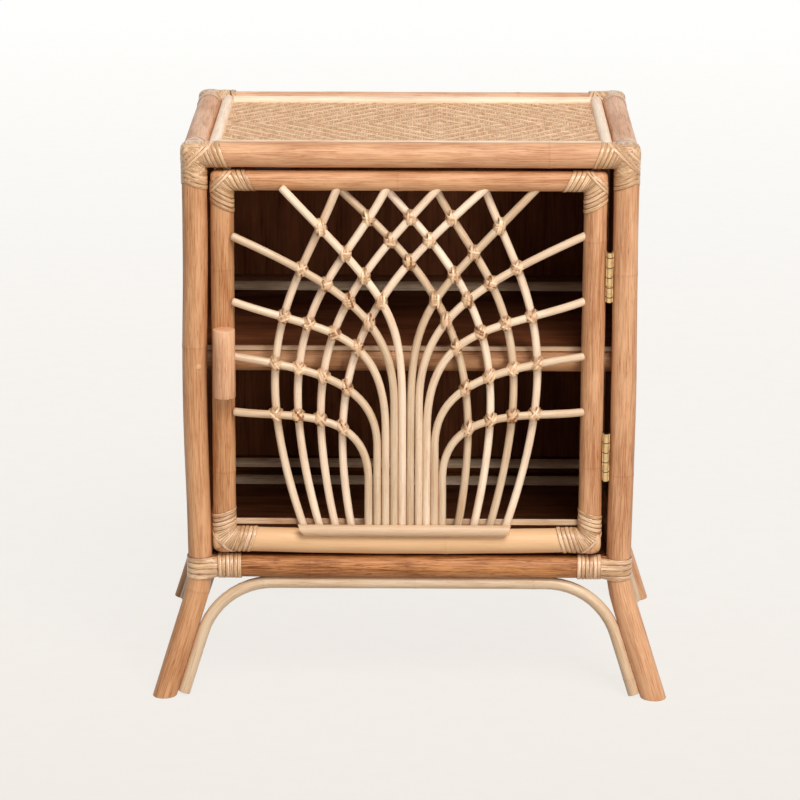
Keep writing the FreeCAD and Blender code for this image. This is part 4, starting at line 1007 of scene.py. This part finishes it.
class TABLE_OT_lashings(bpy.types.Operator):
    """Lash the canes of the grille where they cross"""
    bl_idname = "table.lashings"
    bl_label = "Lashings"

    def execute(self, context):
        fan, paint = Fan(), FINISHES["peel"]
        size = fan.size
        rising = {side: [fan.rising(index, side) for index in range(len(RISING))]
                  for side in (-1, 1)}
        crossing = {side: [fan.crossing(index, side) for index in range(len(CROSSING) + 1)]
                    for side in (-1, 1)}
        sets = {"lashings_left": (rising[-1], crossing[-1]),
                "lashings_right": (rising[1], crossing[1]),
                "lashings_top": (rising[-1], rising[1])}
        tree = lashing_tree()
        nominal = size.cane * LASHING_REACH
        for label, (lines, others) in sets.items():
            spots, turns, stretches = [], [], []
            for line in lines:
                for other in others:
                    met = crossing_of(line, other)
                    if not met or met[0].z > fan.head - size.cane:
                        continue
                    one, two, along, other_along = met
                    centre = (one + two) / 2
                    if along.dot(other_along) < 0:
                        other_along = -other_along
                    half = along.angle(other_along) / 2
                    first = (along + other_along).normalized()
                    # A loop along one diagonal spans the canes' width at their angle.
                    for heading, across_way in ((first, math.sin(half)),
                                                (first.cross(Vector((0, 1, 0))), math.cos(half))):
                        need = size.cane / 2 / max(across_way, LEAST_CROSSING) + LASHING_SLACK
                        across = heading.cross(Vector((0, 1, 0)))
                        for step in (-1, 0, 1):
                            spots.append(centre + across * (step * size.strand * STRAND_STEP))
                            turns.append(math.atan2(-heading.z, heading.x))
                            stretches.append(need / nominal)
            source = bpy.data.meshes.new(label + "_points")
            source.from_pydata([tuple(spot) for spot in spots], [], [])
            for name, values in (("turn", turns), ("stretch", stretches)):
                source.attributes.new(name, "FLOAT", "POINT").data.foreach_set("value", values)
            made = grow_mesh(label + "_strands", tree,
                             {"Strand": size.strand, "Thickness": size.strand_thickness,
                              "Reach": nominal,
                              "Depth": size.layer / 2 + size.cane / 2 + LASHING_SLACK,
                              "Seed": size.seed, "Material": paint}, source)
            piece(label + "_strands", made, "peel", "door", "peel", label)
        return {"FINISHED"}


# ---------------------------------------------------------------- woven top

# A strip is a little longer than its span. Its ends dip by a cube of the way from its middle.
STRIP_LENGTH, DIP_REACH, DIP = 1.1, 1.8, 1.9


def weave_tree():
    """Twill in diamonds: a grid of strips that pass over several others and step by one."""
    tree, given = new_tree("Diamond twill", Columns="Int", Rows="Int", Pitch="Float",
                           Strip="Float", Thickness="Float", Rise="Float", Over="Float",
                           Centre="Float", Level="Float", Seed="Int")
    pitch, over = given["Pitch"], given["Over"]
    grid = read(tree, "GeometryNodeMeshGrid",
                {"Size X": (given["Columns"] - 1.0) * pitch,
                 "Size Y": (given["Rows"] - 1.0) * pitch,
                 "Vertices X": given["Columns"], "Vertices Y": given["Rows"]})
    x, y, _ = separate(position(tree))
    across = x - given["Centre"]
    steps = [calc("ROUND", abs(way) / pitch) for way in (across, y)]
    turn = (steps[0] + steps[1]) % (over * 2.0)
    span = over * pitch
    size = combine(span * STRIP_LENGTH, given["Strip"], given["Thickness"])
    strip = read(tree, "GeometryNodeMeshCube", {"Size": size, "Vertices X": 5, "Vertices Y": 2,
                                                "Vertices Z": 2})
    along, side, up = separate(position(tree))
    strip = store(strip, "grain", "FLOAT_VECTOR", combine(side, up, along))
    fall = abs(along * DIP_REACH / span) ** 3.0
    # Painted shade: the same share darkens a strip's ends, where it dips under the strips across it.
    strip = store(strip, "knot", "FLOAT", fall)
    arch = (1.0 - fall * DIP) * given["Rise"]
    strip = read(tree, "GeometryNodeSetPosition",
                 {"Geometry": strip, "Offset": combine(0.0, 0.0, arch)})
    shift = (over - 1.0) * (pitch * 0.5)
    joined = tree.nodes.new("GeometryNodeJoinGeometry")
    for way, step, phase, quarter, tones in ((across, steps[0], 0.0, 0.0, (0.35, 1.0)),
                                             (y, steps[1], over, math.pi / 2, (0.0, 0.6))):
        # On the middle line the strips pass over both halves at once, so they aren't shifted.
        rank = turn - phase
        centred = step < 0.5
        off_line = 1.0 - centred
        inside = (rank > -0.5) * (rank < over - 0.5)
        chosen = (abs(rank) < 0.5) * off_line + inside * centred
        passed = (over - rank) * 2.0 - 1.0
        reach = off_line + centred * (passed / over)
        spin = combine(chance(tree, -0.03, 0.03, given["Seed"]), 0.0,
                       chance(tree, -0.035, 0.035, 3) + quarter)
        scale = combine(reach * chance(tree, 0.97, 1.05, 5), chance(tree, 0.86, 1.02, 6), 1.0)
        placed = read(tree, "GeometryNodeInstanceOnPoints",
                      {"Points": grid, "Selection": chosen, "Instance": strip, "Rotation": spin,
                       "Scale": scale})
        moved = calc("SIGN", way) * off_line * shift
        lift = given["Level"] + chance(tree, -0.1 * MM, 0.15 * MM, 8)
        path = combine(0.0, moved, lift) if quarter else combine(moved, 0.0, lift)
        placed = read(tree, "GeometryNodeTranslateInstances",
                      {"Instances": placed, "Translation": path, "Local Space": False})
        feed(joined.inputs[0], store(placed, "tone", "FLOAT", chance(tree, *tones, 12),
                                     "INSTANCE"))
    end_tree(tree, Wire(tree, joined.outputs[0]), given["Material"])
    return tree


BORDER_RISE = 0.5 * MM


class TABLE_OT_woven_top(bpy.types.Operator):
    """Weave the top and set its border canes"""
    bl_idname = "table.woven_top"
    bl_label = "Woven top"

    def execute(self, context):
        size, poles = settings("weave"), settings("poles")
        low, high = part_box("woven_top")
        rim_low, rim_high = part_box("top_border_canes")
        inset = poles.border
        columns = int((high.x - low.x - 2 * inset) / size.pitch) + 3
        rows = int((high.y - low.y - 2 * inset) / size.pitch) + 3
        made = grow_mesh("woven_strips", weave_tree(),
                         {"Columns": columns, "Rows": rows, "Pitch": size.pitch,
                          "Strip": size.strip, "Thickness": size.thickness, "Rise": size.rise,
                          "Over": float(size.over), "Centre": size.centre, "Level": high.z,
                          "Seed": size.seed, "Material": FINISHES["weave"]})
        piece("woven_strips", made, "weave", "cabinet", "peel")
        shape = Shape()
        radius, level = poles.border / 2, rim_low.z + BORDER_RISE
        edge_x, edge_y = rim_high.x - radius, rim_high.y - radius
        for seed, side in enumerate((-1, 1), start=500):
            tube(shape, [Vector((side * edge_x, y, level)) for y in (rim_low.y, rim_high.y)],
                 poles.border, seed, sides=24, knot_gap=None, tone=1.0)
            ends = (rim_low.x + poles.border, rim_high.x - poles.border)
            tube(shape, [Vector((x, side * edge_y, level)) for x in ends],
                 poles.border, seed + 2, sides=24, tone=0.7, knot_gap=None)
        piece("border_canes", shape, "cane", "cabinet", "cane", "top_border_canes")
        return {"FINISHED"}


# ---------------------------------------------------------------- bindings

LOOP_POINTS = 34
# A strip's skin: share across it, share of its crown, whether it is the inner side, and how much
# painted shade darkens its edge, where it meets the next strip.
STRIP_ROWS = ((-1, 0, 0, 1), (-0.84, 0.6, 0, 0.1), (-0.4, 1, 0, 0), (0.4, 1, 0, 0),
              (0.84, 0.6, 0, 0.1), (1, 0, 0, 1), (1, 0, 1, 1), (-1, 0, 1, 1))


def hull(pairs):
    """The convex outline of flat points, counter-clockwise."""
    pairs = sorted(set(pairs))

    def chain(points):
        kept = []
        for point in points:
            while len(kept) > 1 and ((kept[-1][0] - kept[-2][0]) * (point[1] - kept[-2][1])
                                     - (kept[-1][1] - kept[-2][1])
                                     * (point[0] - kept[-2][0])) <= 0:
                kept.pop()
            kept.append(point)
        return kept[:-1]

    return np.array(chain(pairs) + chain(pairs[::-1]))


def spread(outline, distance):
    """Moves a convex outline outwards."""
    along = unit(np.roll(outline, -1, axis=0) - np.roll(outline, 1, axis=0))
    return outline + np.stack([along[:, 1], -along[:, 0]], axis=-1) * distance


def resample(outline, count=LOOP_POINTS):
    """Even points round an outline, from its left end."""
    first = int(np.argmin(outline[:, 0] + abs(outline[:, 1]) * 1e-3))
    closed = np.concatenate([np.roll(outline, -first, axis=0), outline[first:first + 1]])
    steps = np.linalg.norm(np.diff(closed, axis=0), axis=1)
    marks = np.concatenate([[0], np.cumsum(steps)])
    places = np.linspace(0, marks[-1], count, endpoint=False)
    return np.stack([np.interp(places, marks, closed[:, axis]) for axis in (0, 1)], axis=-1)


def lay_strip(shape, outline, lift, dice, tone=None):
    """Adds a closed strip of peel. Outline gives its loop at a share across and at a lift.

    Painted light: the peel low down is painted paler and the peel high up darker.
    """
    size = settings("bindings")
    rows = [outline(share, lift + crown * size.crown - inner * size.thickness)
            for share, crown, inner, _ in STRIP_ROWS]
    if any(row is None for row in rows):
        return
    rings = np.stack(rows, axis=1)
    along = np.linalg.norm(np.diff(rings[:, 2], axis=0), axis=1)
    along = np.concatenate([[0], np.cumsum(along)])
    offset = dice.uniform(0, 50)
    shares = np.array([row[0] for row in STRIP_ROWS])
    flat = np.ones(rings.shape[:2])
    # Painted light: a share that makes the peel paler low down and darker high up.
    painted_low_light = float(np.interp(rings[0, 0, 2], (0.2, 0.5), (1, 0)))
    tone = (0.35 + 0.2 * painted_low_light + (0.45 + 0.1 * painted_low_light) * (dice.random() - 0.5) if tone is None
            else tone * (0.7 + 0.3 * painted_low_light))
    grain = np.stack([flat * (shares * size.strip / 2 + offset), flat * offset,
                      flat * (along[:, None] + offset)], axis=-1)
    # Painted shade along the strip's edges, where it meets the next strip.
    knots_and_shade = flat * np.array([row[3] for row in STRIP_ROWS])
    shape.sweep(rings, grain, tone, knots_and_shade, closed=True)


class Corner:
    """Two poles that meet at right angles. U runs along the rail and v along the upright."""

    def __init__(self, centre, u, v, upright, rail):
        self.centre, self.u, self.v = Vector(centre), Vector(u), Vector(v)
        self.w = self.u.cross(self.v)
        self.upright, self.rail = upright / 2, rail / 2
        self.inner = np.array((self.upright, self.rail))

    def thickness(self, spots):
        """Half the joint's thickness at flat points (u, v), or a negative number outside."""
        u, v = spots[:, 0], spots[:, 1]
        upright = self.upright ** 2 - u ** 2
        upright = upright * (1 - np.clip(-v / self.rail, 0, 1) ** 4)
        rail = self.rail ** 2 - v ** 2
        rail = rail * (1 - np.clip(-u / self.upright, 0, 1) ** 4)
        both = (-u / self.upright).clip(0, 1) ** 4 + (-v / self.rail).clip(0, 1) ** 4
        outer = self.upright * self.rail * (1 - both)
        most = np.where((u < 0) & (v < 0), outer, np.maximum(upright, rail))
        return np.where(most > 0, np.sqrt(np.maximum(most, 0)), -1)

    def loop(self, base, heading, lift, reach=None):
        """A taut loop round the poles in the plane through a flat point and w."""
        span = np.linspace(-0.06, 0.06, 481) if reach is None else np.linspace(0, reach, 161)
        flat = base + np.outer(span, heading)
        half = self.thickness(flat)
        pairs = [(t, sign * h) for t, h in zip(span, half) if h > 0 for sign in (-1, 1)]
        if not pairs:
            return None
        outline = resample(spread(hull(pairs), lift))
        flat = base + np.outer(outline[:, 0], heading)
        return (np.array(self.centre) + np.outer(flat[:, 0], self.u)
                + np.outer(flat[:, 1], self.v) + np.outer(outline[:, 1], self.w))


def heading_at(angle):
    """From the inner corner outwards: 0 runs across the upright, 90 across the rail."""
    turn = math.radians(angle)
    return np.array([-math.cos(turn), -math.sin(turn)])


STRIP_FILL = 0.97


def fan_strip(shape, corner, pivot, low, high, lift, dice, reach):
    """A strip that widens from the inner corner outwards."""
    centre, half = (low + high) / 2 + dice.uniform(-0.4, 0.4), (high - low) / 2 * STRIP_FILL
    far = reach and reach + pivot * math.sqrt(2)

    def outline(share, raised):
        return corner.loop(corner.inner + pivot, heading_at(centre + share * half), raised, far)

    lay_strip(shape, outline, lift, dice)


def coil_strip(shape, corner, run, place, pitch, angle, lift, dice):
    """A strip round one pole, beside the fan."""
    way = heading_at(angle + dice.uniform(-1, 1))

    def outline(share, raised):
        base = corner.inner + run * (place + share * pitch * STRIP_FILL / 2)
        return corner.loop(base, way, raised)

    lay_strip(shape, outline, lift, dice)


def strap_strip(shape, corner, place, lift, dice):
    """A strip across the fan, square to its middle."""
    size, way = settings("bindings"), np.array([1.0, -1.0]) / math.sqrt(2)

    def outline(share, raised):
        spot = place + share * size.strap * STRIP_FILL / 2
        return corner.loop(corner.inner + heading_at(45) * spot, way, raised)

    lay_strip(shape, outline, lift, dice, tone=0.9)


def stagger(lift, index, dice):
    """Lifts every second strip a little, and each by a chance."""
    return lift + (0.2 * MM if index % 2 else 0) + dice.uniform(0, 0.1) * MM


def wrap_corner(shape, corner, dice, fan, coils, straps, lift, reach=None):
    """Strips of peel fanned over a joint, coils beyond them and straps across."""
    size = settings("bindings")
    start, stop, count = fan
    pivot = size.pivot
    angles = np.linspace(start, stop, count + 1)
    for index in range(count):
        fan_strip(shape, corner, pivot, angles[index], angles[index + 1],
                  stagger(lift, index, dice), dice, reach)
    for run, angle, turns in ((np.array([1, 0]), stop, coils[0]),
                              (np.array([0, 1]), start, coils[1])):
        off = math.radians(90 - angle if run[0] else angle)
        first, pitch = pivot * (1 - math.tan(off)), size.strip / math.cos(off)
        for index in range(turns):
            straighter = angle + (index + 0.5) * (1.0 if run[0] else -1.0)
            coil_strip(shape, corner, run, first + pitch * (index + 0.5), pitch, straighter,
                       stagger(lift, index, dice), dice)
    for place, above in straps:
        strap_strip(shape, corner, place, lift + above, dice)


def ring_strip(shape, centre, along, radius, width, lift, dice):
    """A strip round a straight pole."""
    along = Vector(along)
    side = along.orthogonal().normalized()
    above = along.cross(side)
    tilt, turns = dice.uniform(-0.04, 0.04), np.linspace(0, 2 * math.pi, LOOP_POINTS, False)

    def outline(share, raised):
        spokes = np.outer(np.cos(turns), side) + np.outer(np.sin(turns), above)
        shift = share * width * STRIP_FILL / 2 + tilt * radius * np.cos(turns)
        return np.array(centre) + spokes * (radius + raised) + np.outer(shift, along)

    lay_strip(shape, outline, lift, dice)


def knee_strip(shape, centre, ways, radius, rail, height, width, reach, lift, dice):
    """A level strip round a post that also takes in the first bit of its rails."""
    turns = np.linspace(0, 2 * math.pi, 48, False)

    def outline(share, raised):
        level = height + share * width * STRIP_FILL / 2
        half = math.sqrt(max(rail ** 2 - level ** 2, 0)) + raised
        pairs = [((radius + raised) * math.cos(turn), (radius + raised) * math.sin(turn))
                 for turn in turns]
        for x, y in ways:
            pairs += [(x * reach - y * half * side, y * reach + x * half * side)
                      for side in (-1, 1)]
        flat = resample(hull(pairs))
        return np.column_stack([flat[:, 0] + centre.x, flat[:, 1] + centre.y,
                                np.full(len(flat), centre.z + level)])

    lay_strip(shape, outline, lift, dice)


# How far strips stand off the poles: a fan on each rail of a post, the straps over a fan, level
# strips at a knee and strips round its rails.
FRONT_FAN, SIDE_FAN, DOOR_FAN = 0.2 * MM, 0.05 * MM, 0.3 * MM
MIDDLE_STRAP, OUTER_STRAP, DOOR_STRAP, LONE_STRAP = 0.45 * MM, 0.3 * MM, 0.5 * MM, 0.6 * MM
KNEE_STRIP, RAIL_STRIP, STRIP_CHANCE = 0.7 * MM, 0.9 * MM, 0.2
KNEE_OVERLAP = 0.5 * MM


class TABLE_OT_cabinet_bindings(bpy.types.Operator):
    """Bind the cabinet's corners with peel"""
    bl_idname = "table.cabinet_bindings"
    bl_label = "Cabinet bindings"

    def execute(self, context):
        size, poles = settings("bindings"), settings("poles")
        dice = random.Random(size.seed)
        for end_name, end in (("front", -1), ("back", 1)):
            upper, lower = Shape(), Shape()
            for side in (-1, 1):
                post = post_place(side, end)
                self.head(upper, post + UP * middle("top_rail_front").z, side, end, dice)
                self.knee(lower, post + UP * (middle("base_rail_front").z - poles.settle),
                          side, end, dice)
            for level, shape in (("top", upper), ("base", lower)):
                label = f"{level}_bindings_{end_name}"
                piece(label + "_peel", shape, "peel", "cabinet", "peel", label)
        return {"FINISHED"}

    def head(self, shape, centre, side, end, dice):
        """The top of a post, with a fan towards each of its rails."""
        size, poles = settings("bindings"), settings("poles")
        strap = size.cabinet_strap
        straps = [(strap - size.strap / 2, MIDDLE_STRAP), (strap + size.strap / 2, MIDDLE_STRAP),
                  (strap + size.strap * 2, OUTER_STRAP), (strap + size.strap * 3.3, OUTER_STRAP)]
        for inward, lift in (((0, -end, 0), SIDE_FAN), ((-side, 0, 0), FRONT_FAN)):
            corner = Corner(centre, inward, (0, 0, -1), poles.post, poles.top_rail)
            wrap_corner(shape, corner, dice, (24, 66, 9), (4, 4), straps, lift)

    def knee(self, shape, centre, side, end, dice):
        """The bend of a post: level strips round it and upright ones round its rails."""
        size, poles = settings("bindings"), settings("poles")
        ways = ((-side, 0), (0, -end))
        height = poles.base_rail / size.knee_turns
        for index in range(size.knee_turns):
            level = (index - (size.knee_turns - 1) / 2) * height
            knee_strip(shape, centre, ways, poles.post / 2, poles.base_rail / 2, level, height,
                       size.knee_reach, KNEE_STRIP + dice.uniform(0, STRIP_CHANCE) * MM, dice)
        for x, y in ways:
            along = Vector((x, y, 0))
            for index in range(size.rail_turns):
                place = size.knee_reach - KNEE_OVERLAP + size.strip * (index + 0.5)
                ring_strip(shape, centre + along * place, along, poles.base_rail / 2, size.strip,
                           RAIL_STRIP + dice.uniform(0, STRIP_CHANCE) * MM, dice)


class TABLE_OT_door_bindings(bpy.types.Operator):
    """Bind the door's corners with peel"""
    bl_idname = "table.door_bindings"
    bl_label = "Door bindings"

    def execute(self, context):
        size, poles = settings("bindings"), settings("poles")
        dice = random.Random(size.seed + 1)
        for side_name, side in (("left", -1), ("right", 1)):
            shape = Shape()
            for level, diameter, down, fan, coils, strap in (
                    ("top", poles.door_top, -1, (30, 60, 7), (4, 4), size.door_top_strap),
                    ("bottom", poles.door_bottom, 1, (20, 70, 10), (4, 4),
                     size.door_bottom_strap)):
                straps = [(strap, LONE_STRAP)]
                if level == "top":
                    straps = [(strap + way * size.strap / 2, DOOR_STRAP) for way in (-1, 1)]
                centre = stile_place(side_name, middle(f"door_rail_{level}").z)
                corner = Corner(centre, (-side, 0, 0), (0, 0, down), poles.stile, diameter)
                wrap_corner(shape, corner, dice, fan, coils, straps, DOOR_FAN, strap + 1 * MM)
            label = f"door_bindings_{side_name}"
            piece(label + "_peel", shape, "peel", "door", "peel", label)
        return {"FINISHED"}


# ---------------------------------------------------------------- boards and fittings

SCREW, SCREW_HEIGHT, SLOT, SLOT_LENGTH = 4 * MM, 0.8 * MM, 0.7 * MM, 0.66


def screw_tree():
    """A low screw head with a crossed slot at each point, turned as it says."""
    tree, given = new_tree("Screw heads", Diameter="Float", Height="Float", Slot="Float")
    diameter, height, slot = given["Diameter"], given["Height"], given["Slot"]
    ball = read(tree, "GeometryNodeMeshUVSphere",
                {"Segments": 14, "Rings": 6, "Radius": diameter * 0.5})
    head = read(tree, "GeometryNodeTransform",
                {"Geometry": ball, "Scale": combine(1.0, 1.0, height / (diameter * 0.5))})
    cut = node(tree, "GeometryNodeMeshBoolean", operation="DIFFERENCE")
    feed(cut.inputs[0], head)
    for turn in (0.0, math.pi / 2):
        cube = read(tree, "GeometryNodeMeshCube", {"Size": combine(diameter, slot, slot)})
        feed(cut.inputs[1], read(tree, "GeometryNodeTransform",
                                 {"Geometry": cube, "Translation": combine(0.0, 0.0, height),
                                  "Rotation": (0, 0, turn), "Scale": (SLOT_LENGTH, 1, 1)}))
    head = store(Wire(tree, cut.outputs[0]), "grain", "FLOAT_VECTOR", position(tree))
    placed = read(tree, "GeometryNodeInstanceOnPoints",
                  {"Points": given["Geometry"], "Instance": head,
                   "Rotation": combine(0.0, named(tree, "turn", "FLOAT"), 0.0)})
    placed = store(placed, "tone", "FLOAT", chance(tree, 0.3, 0.9, 2), "INSTANCE")
    end_tree(tree, placed, given["Material"])
    return tree


class TABLE_OT_hinge_screws(bpy.types.Operator):
    """Set the screws of the hinge leaves"""
    bl_idname = "table.hinge_screws"
    bl_label = "Hinge screws"

    def execute(self, context):
        tree = screw_tree()
        for owner, body, face in (("frame", "cabinet", -1), ("door", "door", 1)):
            low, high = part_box(f"hinge_leaves_{owner}")
            edge = high.x if owner == "frame" else low.x
            plate_x = edge + face * LEAF
            spots, turns = [], []
            for foot in (low.z, high.z - HINGE):
                for share in (0.2, 0.5, 0.8):
                    spots.append((plate_x, middle("base_rail_front").y, foot + share * HINGE))
                    turns.append(face * math.pi / 2)
            source = bpy.data.meshes.new("screw_points")
            source.from_pydata(spots, [], [])
            source.attributes.new("turn", "FLOAT", "POINT").data.foreach_set("value", turns)
            made = grow_mesh(f"hinge_screws_{owner}", tree,
                             {"Diameter": SCREW, "Height": SCREW_HEIGHT, "Slot": SLOT,
                              "Material": FINISHES["brass"]}, source)
            piece(f"hinge_screws_{owner}", made, "brass", body, "brass")
        return {"FINISHED"}


def batten(low, high, edge=0.6 * MM, tone=0.3):
    """A straight strip along x with its edges eased."""
    outline = [(high.y - edge, low.z), (high.y, low.z + edge), (high.y, high.z - edge),
               (high.y - edge, high.z), (low.y + edge, high.z), (low.y, high.z - edge),
               (low.y, low.z + edge), (low.y + edge, low.z)]
    rings = [[(x, y, z) for y, z in outline] for x in np.linspace(low.x, high.x, 12)]
    shape = Shape()
    shape.sweep(rings, rings, tone)
    return shape


PLUG, PLUG_DEPTH, PLUG_PROUD, PLUG_OFFSET = 5.5 * MM, 3 * MM, 0.5 * MM, 2 * MM


class TABLE_OT_post_plug(bpy.types.Operator):
    """Plug the hole in the left front post, level with the handle"""
    bl_idname = "table.post_plug"
    bl_label = "Post plug"

    def execute(self, context):
        poles = settings("poles")
        post = post_place(-1, -1)
        depth = math.sqrt((poles.post / 2) ** 2 - (PLUG_OFFSET + poles.left_belly) ** 2)
        spot = Vector((post.x + PLUG_OFFSET, post.y - depth,
                       middle("door_handle").z - PLUG_OFFSET))
        line = [spot + Vector((0, PLUG_DEPTH, 0)), spot - Vector((0, PLUG_PROUD, 0))]
        shape = tube(Shape(), line, PLUG, 700, sides=20, knot_gap=None, tone=0.2)
        piece("post_plug", shape, "pale_pole", "cabinet", "pole")
        return {"FINISHED"}


class TABLE_OT_backing_strip(bpy.types.Operator):
    """Run the strip behind the canes' feet from stile to stile"""
    bl_idname = "table.backing_strip"
    bl_label = "Backing strip"

    def execute(self, context):
        low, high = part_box("sill_backing_strip")
        inner = settings("poles").stile / 2 - INNER_SOCKET
        low.x = stile_place("left", low.z).x + inner
        high.x = middle("door_stile_right").x - inner
        piece("sill_backing_strip_long", batten(low, high), "backing", "door", "cane",
              "sill_backing_strip")
        return {"FINISHED"}


class TABLE_OT_floor_batten(bpy.types.Operator):
    """Close the slit between the floor and the rail at its back"""
    bl_idname = "table.floor_batten"
    bl_label = "Floor batten"

    def execute(self, context):
        low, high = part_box("back_panel_lower")
        rail, board = middle("floor_rail_back"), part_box("floor_board")[1]
        half = 1.5 * MM
        shape = batten(Vector((low.x, rail.y - half, board.z)),
                       Vector((high.x, rail.y + half, rail.z)))
        piece("floor_batten", shape, "board_x", "cabinet", "stained_board")
        return {"FINISHED"}


class TABLE_OT_boards(bpy.types.Operator):
    """Give the boards, mouldings and fittings of the frame their finishes"""
    bl_idname = "table.boards"
    bl_label = "Boards and fittings"

    def execute(self, context):
        finishes = {"board_z": ["side_panel_left", "side_panel_right", "back_panel_lower",
                                "back_panel_upper"],
                    "board_x": ["floor_board", "shelf_board", "top_board"],
                    "board_y": ["shelf_cleats"],
                    "strip": ["shelf_edging", "sill_strip"],
                    "moulding": ["back_mouldings"],
                    # The board under the weave is painted dark, as painted shade in the gaps between
                    # the strips.
                    "weave_gap": ["woven_top"],
                    "brass": ["catch_strike"],
                    "hinge_barrel": ["hinge_leaves_frame", "hinge_leaves_door", "hinge_pins"],
                    "magnet_case": ["catch_magnet"]}
        for finish, labels in finishes.items():
            for label in labels:
                for holder in NODES[label].material_slots:
                    holder.material = FINISHES[finish]
        return {"FINISHED"}


# ---------------------------------------------------------------- stage

# Where each lamp stands, and how wide it is.
LAMPS = {"key": ((1.5, -3.6, 5.3), 3.0),
         "fill": ((-2.2, -2.2, 1.2), 2.0),
         "low": ((1.2, -2.9, 0.9), 0.7)}


class TABLE_OT_stage(bpy.types.Operator):
    """Set the floor, the lamps, the sky and the camera"""
    bl_idname = "table.stage"
    bl_label = "Stage"

    def execute(self, context):
        size = settings("stage")
        half = 30
        ground = bpy.data.meshes.new("floor")
        corners = [(x * half, y * half, 0) for x, y in ((-1, -1), (1, -1), (1, 1), (-1, 1))]
        ground.from_pydata(corners, [], [(0, 1, 2, 3)])
        floor = bpy.data.objects.new("floor", ground)
        context.scene.collection.objects.link(floor)
        ground.materials.append(self.floor_finish(size))
        for name, (place, width) in LAMPS.items():
            self.lamp(name + "_lamp", place, width, getattr(size, name))
        self.sky(size)
        self.camera(size)
        return {"FINISHED"}

    def floor_finish(self, size):
        """A matt floor that looks evenly lit but still takes a soft shadow."""
        tree, shader = new_finish("floor")
        place = object_place(tree)
        share = ramp(separate(place)[1], -0.4, 3.9)
        speck = noise(place, (40, 40, 40))
        paint = blend_colours(share, size.near, size.far)
        paint = blend_colours(ramp(speck, 0.3, 0.7, 0, 0.012), paint, (0, 0, 0))
        feed(shader.inputs["Base Color"], blend_colours(0.45, paint, (0, 0, 0)))
        shader.inputs["Roughness"].default_value = 0.9
        glow = read(tree, "ShaderNodeEmission",
                    {"Color": paint, "Strength": ramp(share ** 0.6, 0, 1, 1.045, 1.125)})
        mixed = read(tree, "ShaderNodeMixShader", {0: self.seen(tree) * 0.88,
                                                   1: Wire(tree, shader.outputs[0]), 2: glow})
        feed(tree.nodes["Material Output"].inputs[0], mixed)
        return FINISHES["floor"]

    def seen(self, tree):
        """1 for what the camera sees, straight, in gloss or through glass."""
        path = node(tree, "ShaderNodeLightPath").outputs
        camera, gloss, glass = (Wire(tree, path[f"Is {kind} Ray"])
                                for kind in ("Camera", "Glossy", "Transmission"))
        return calc("MAXIMUM", calc("MAXIMUM", camera, gloss), glass)

    def lamp(self, name, place, width, power):
        light = bpy.data.lights.new(name, "AREA")
        light.size, light.energy = width, power
        lamp = bpy.data.objects.new(name, light)
        bpy.context.scene.collection.objects.link(lamp)
        lamp.location = place
        target = Vector((0, 0, 0.3))
        lamp.rotation_euler = (target - Vector(place)).to_track_quat("-Z", "Y").to_euler()

    def sky(self, size):
        world = bpy.data.worlds.new("sky")
        bpy.context.scene.world = world
        world.use_nodes = True
        back = world.node_tree.nodes["Background"]
        back.inputs["Color"].default_value = (*size.far, 1)
        feed(back.inputs["Strength"], self.seen(world.node_tree) * (1 - size.sky) + size.sky)

    def camera(self, size):
        lens = bpy.data.cameras.new("camera")
        lens.lens, lens.sensor_width, lens.clip_end = size.lens, 36, 100
        camera = bpy.data.objects.new("camera", lens)
        bpy.context.scene.collection.objects.link(camera)
        ahead = Vector((-math.cos(size.pitch) * math.sin(size.yaw),
                        math.cos(size.pitch) * math.cos(size.yaw), -math.sin(size.pitch)))
        right = Vector((math.cos(size.yaw), math.sin(size.yaw), 0))
        above = right.cross(ahead)
        right, above = (right * math.cos(size.roll) + above * math.sin(size.roll),
                        above * math.cos(size.roll) - right * math.sin(size.roll))
        turn = Matrix((right, above, -ahead)).transposed().to_4x4()
        camera.matrix_world = Matrix.Translation(size.camera) @ turn
        bpy.context.scene.camera = camera


# ---------------------------------------------------------------- panel and order

GROUPS = {"poles": TABLE_PG_poles, "grille": TABLE_PG_grille, "weave": TABLE_PG_weave,
          "bindings": TABLE_PG_bindings, "finish": TABLE_PG_finish, "stage": TABLE_PG_stage}
STEPS = (TABLE_OT_finishes, TABLE_OT_frame_poles, TABLE_OT_door_poles, TABLE_OT_leg_arches,
         TABLE_OT_grille, TABLE_OT_lashings, TABLE_OT_woven_top, TABLE_OT_cabinet_bindings,
         TABLE_OT_door_bindings, TABLE_OT_post_plug, TABLE_OT_backing_strip,
         TABLE_OT_hinge_screws, TABLE_OT_floor_batten, TABLE_OT_boards, TABLE_OT_stage)


class TABLE_PT_side_table(bpy.types.Panel):
    """The steps of the side table and their sizes."""
    bl_idname = "TABLE_PT_side_table"
    bl_label = "Side table"
    bl_space_type = "VIEW_3D"
    bl_region_type = "UI"
    bl_category = "Side table"

    def draw(self, context):
        for step in STEPS:
            self.layout.operator(step.bl_idname)
        for name, group in GROUPS.items():
            box = self.layout.box()
            box.label(text=name.capitalize())
            for key in group.__annotations__:
                box.prop(settings(name), key)


def register():
    for kind in (*GROUPS.values(), *STEPS, TABLE_PT_side_table):
        bpy.utils.register_class(kind)
    for name, group in GROUPS.items():
        setattr(bpy.types.Scene, "table_" + name, PointerProperty(type=group))


def unregister():
    for name in GROUPS:
        delattr(bpy.types.Scene, "table_" + name)
    for kind in (TABLE_PT_side_table, *STEPS, *GROUPS.values()):
        bpy.utils.unregister_class(kind)


def main():
    register()
    bpy.context.scene.view_settings.view_transform = "Standard"
    for step in STEPS:
        family, name = step.bl_idname.split(".")
        if getattr(getattr(bpy.ops, family), name)() != {"FINISHED"}:
            raise RuntimeError(f"{step.bl_label} did not finish")


if __name__ == "__main__":
    main()
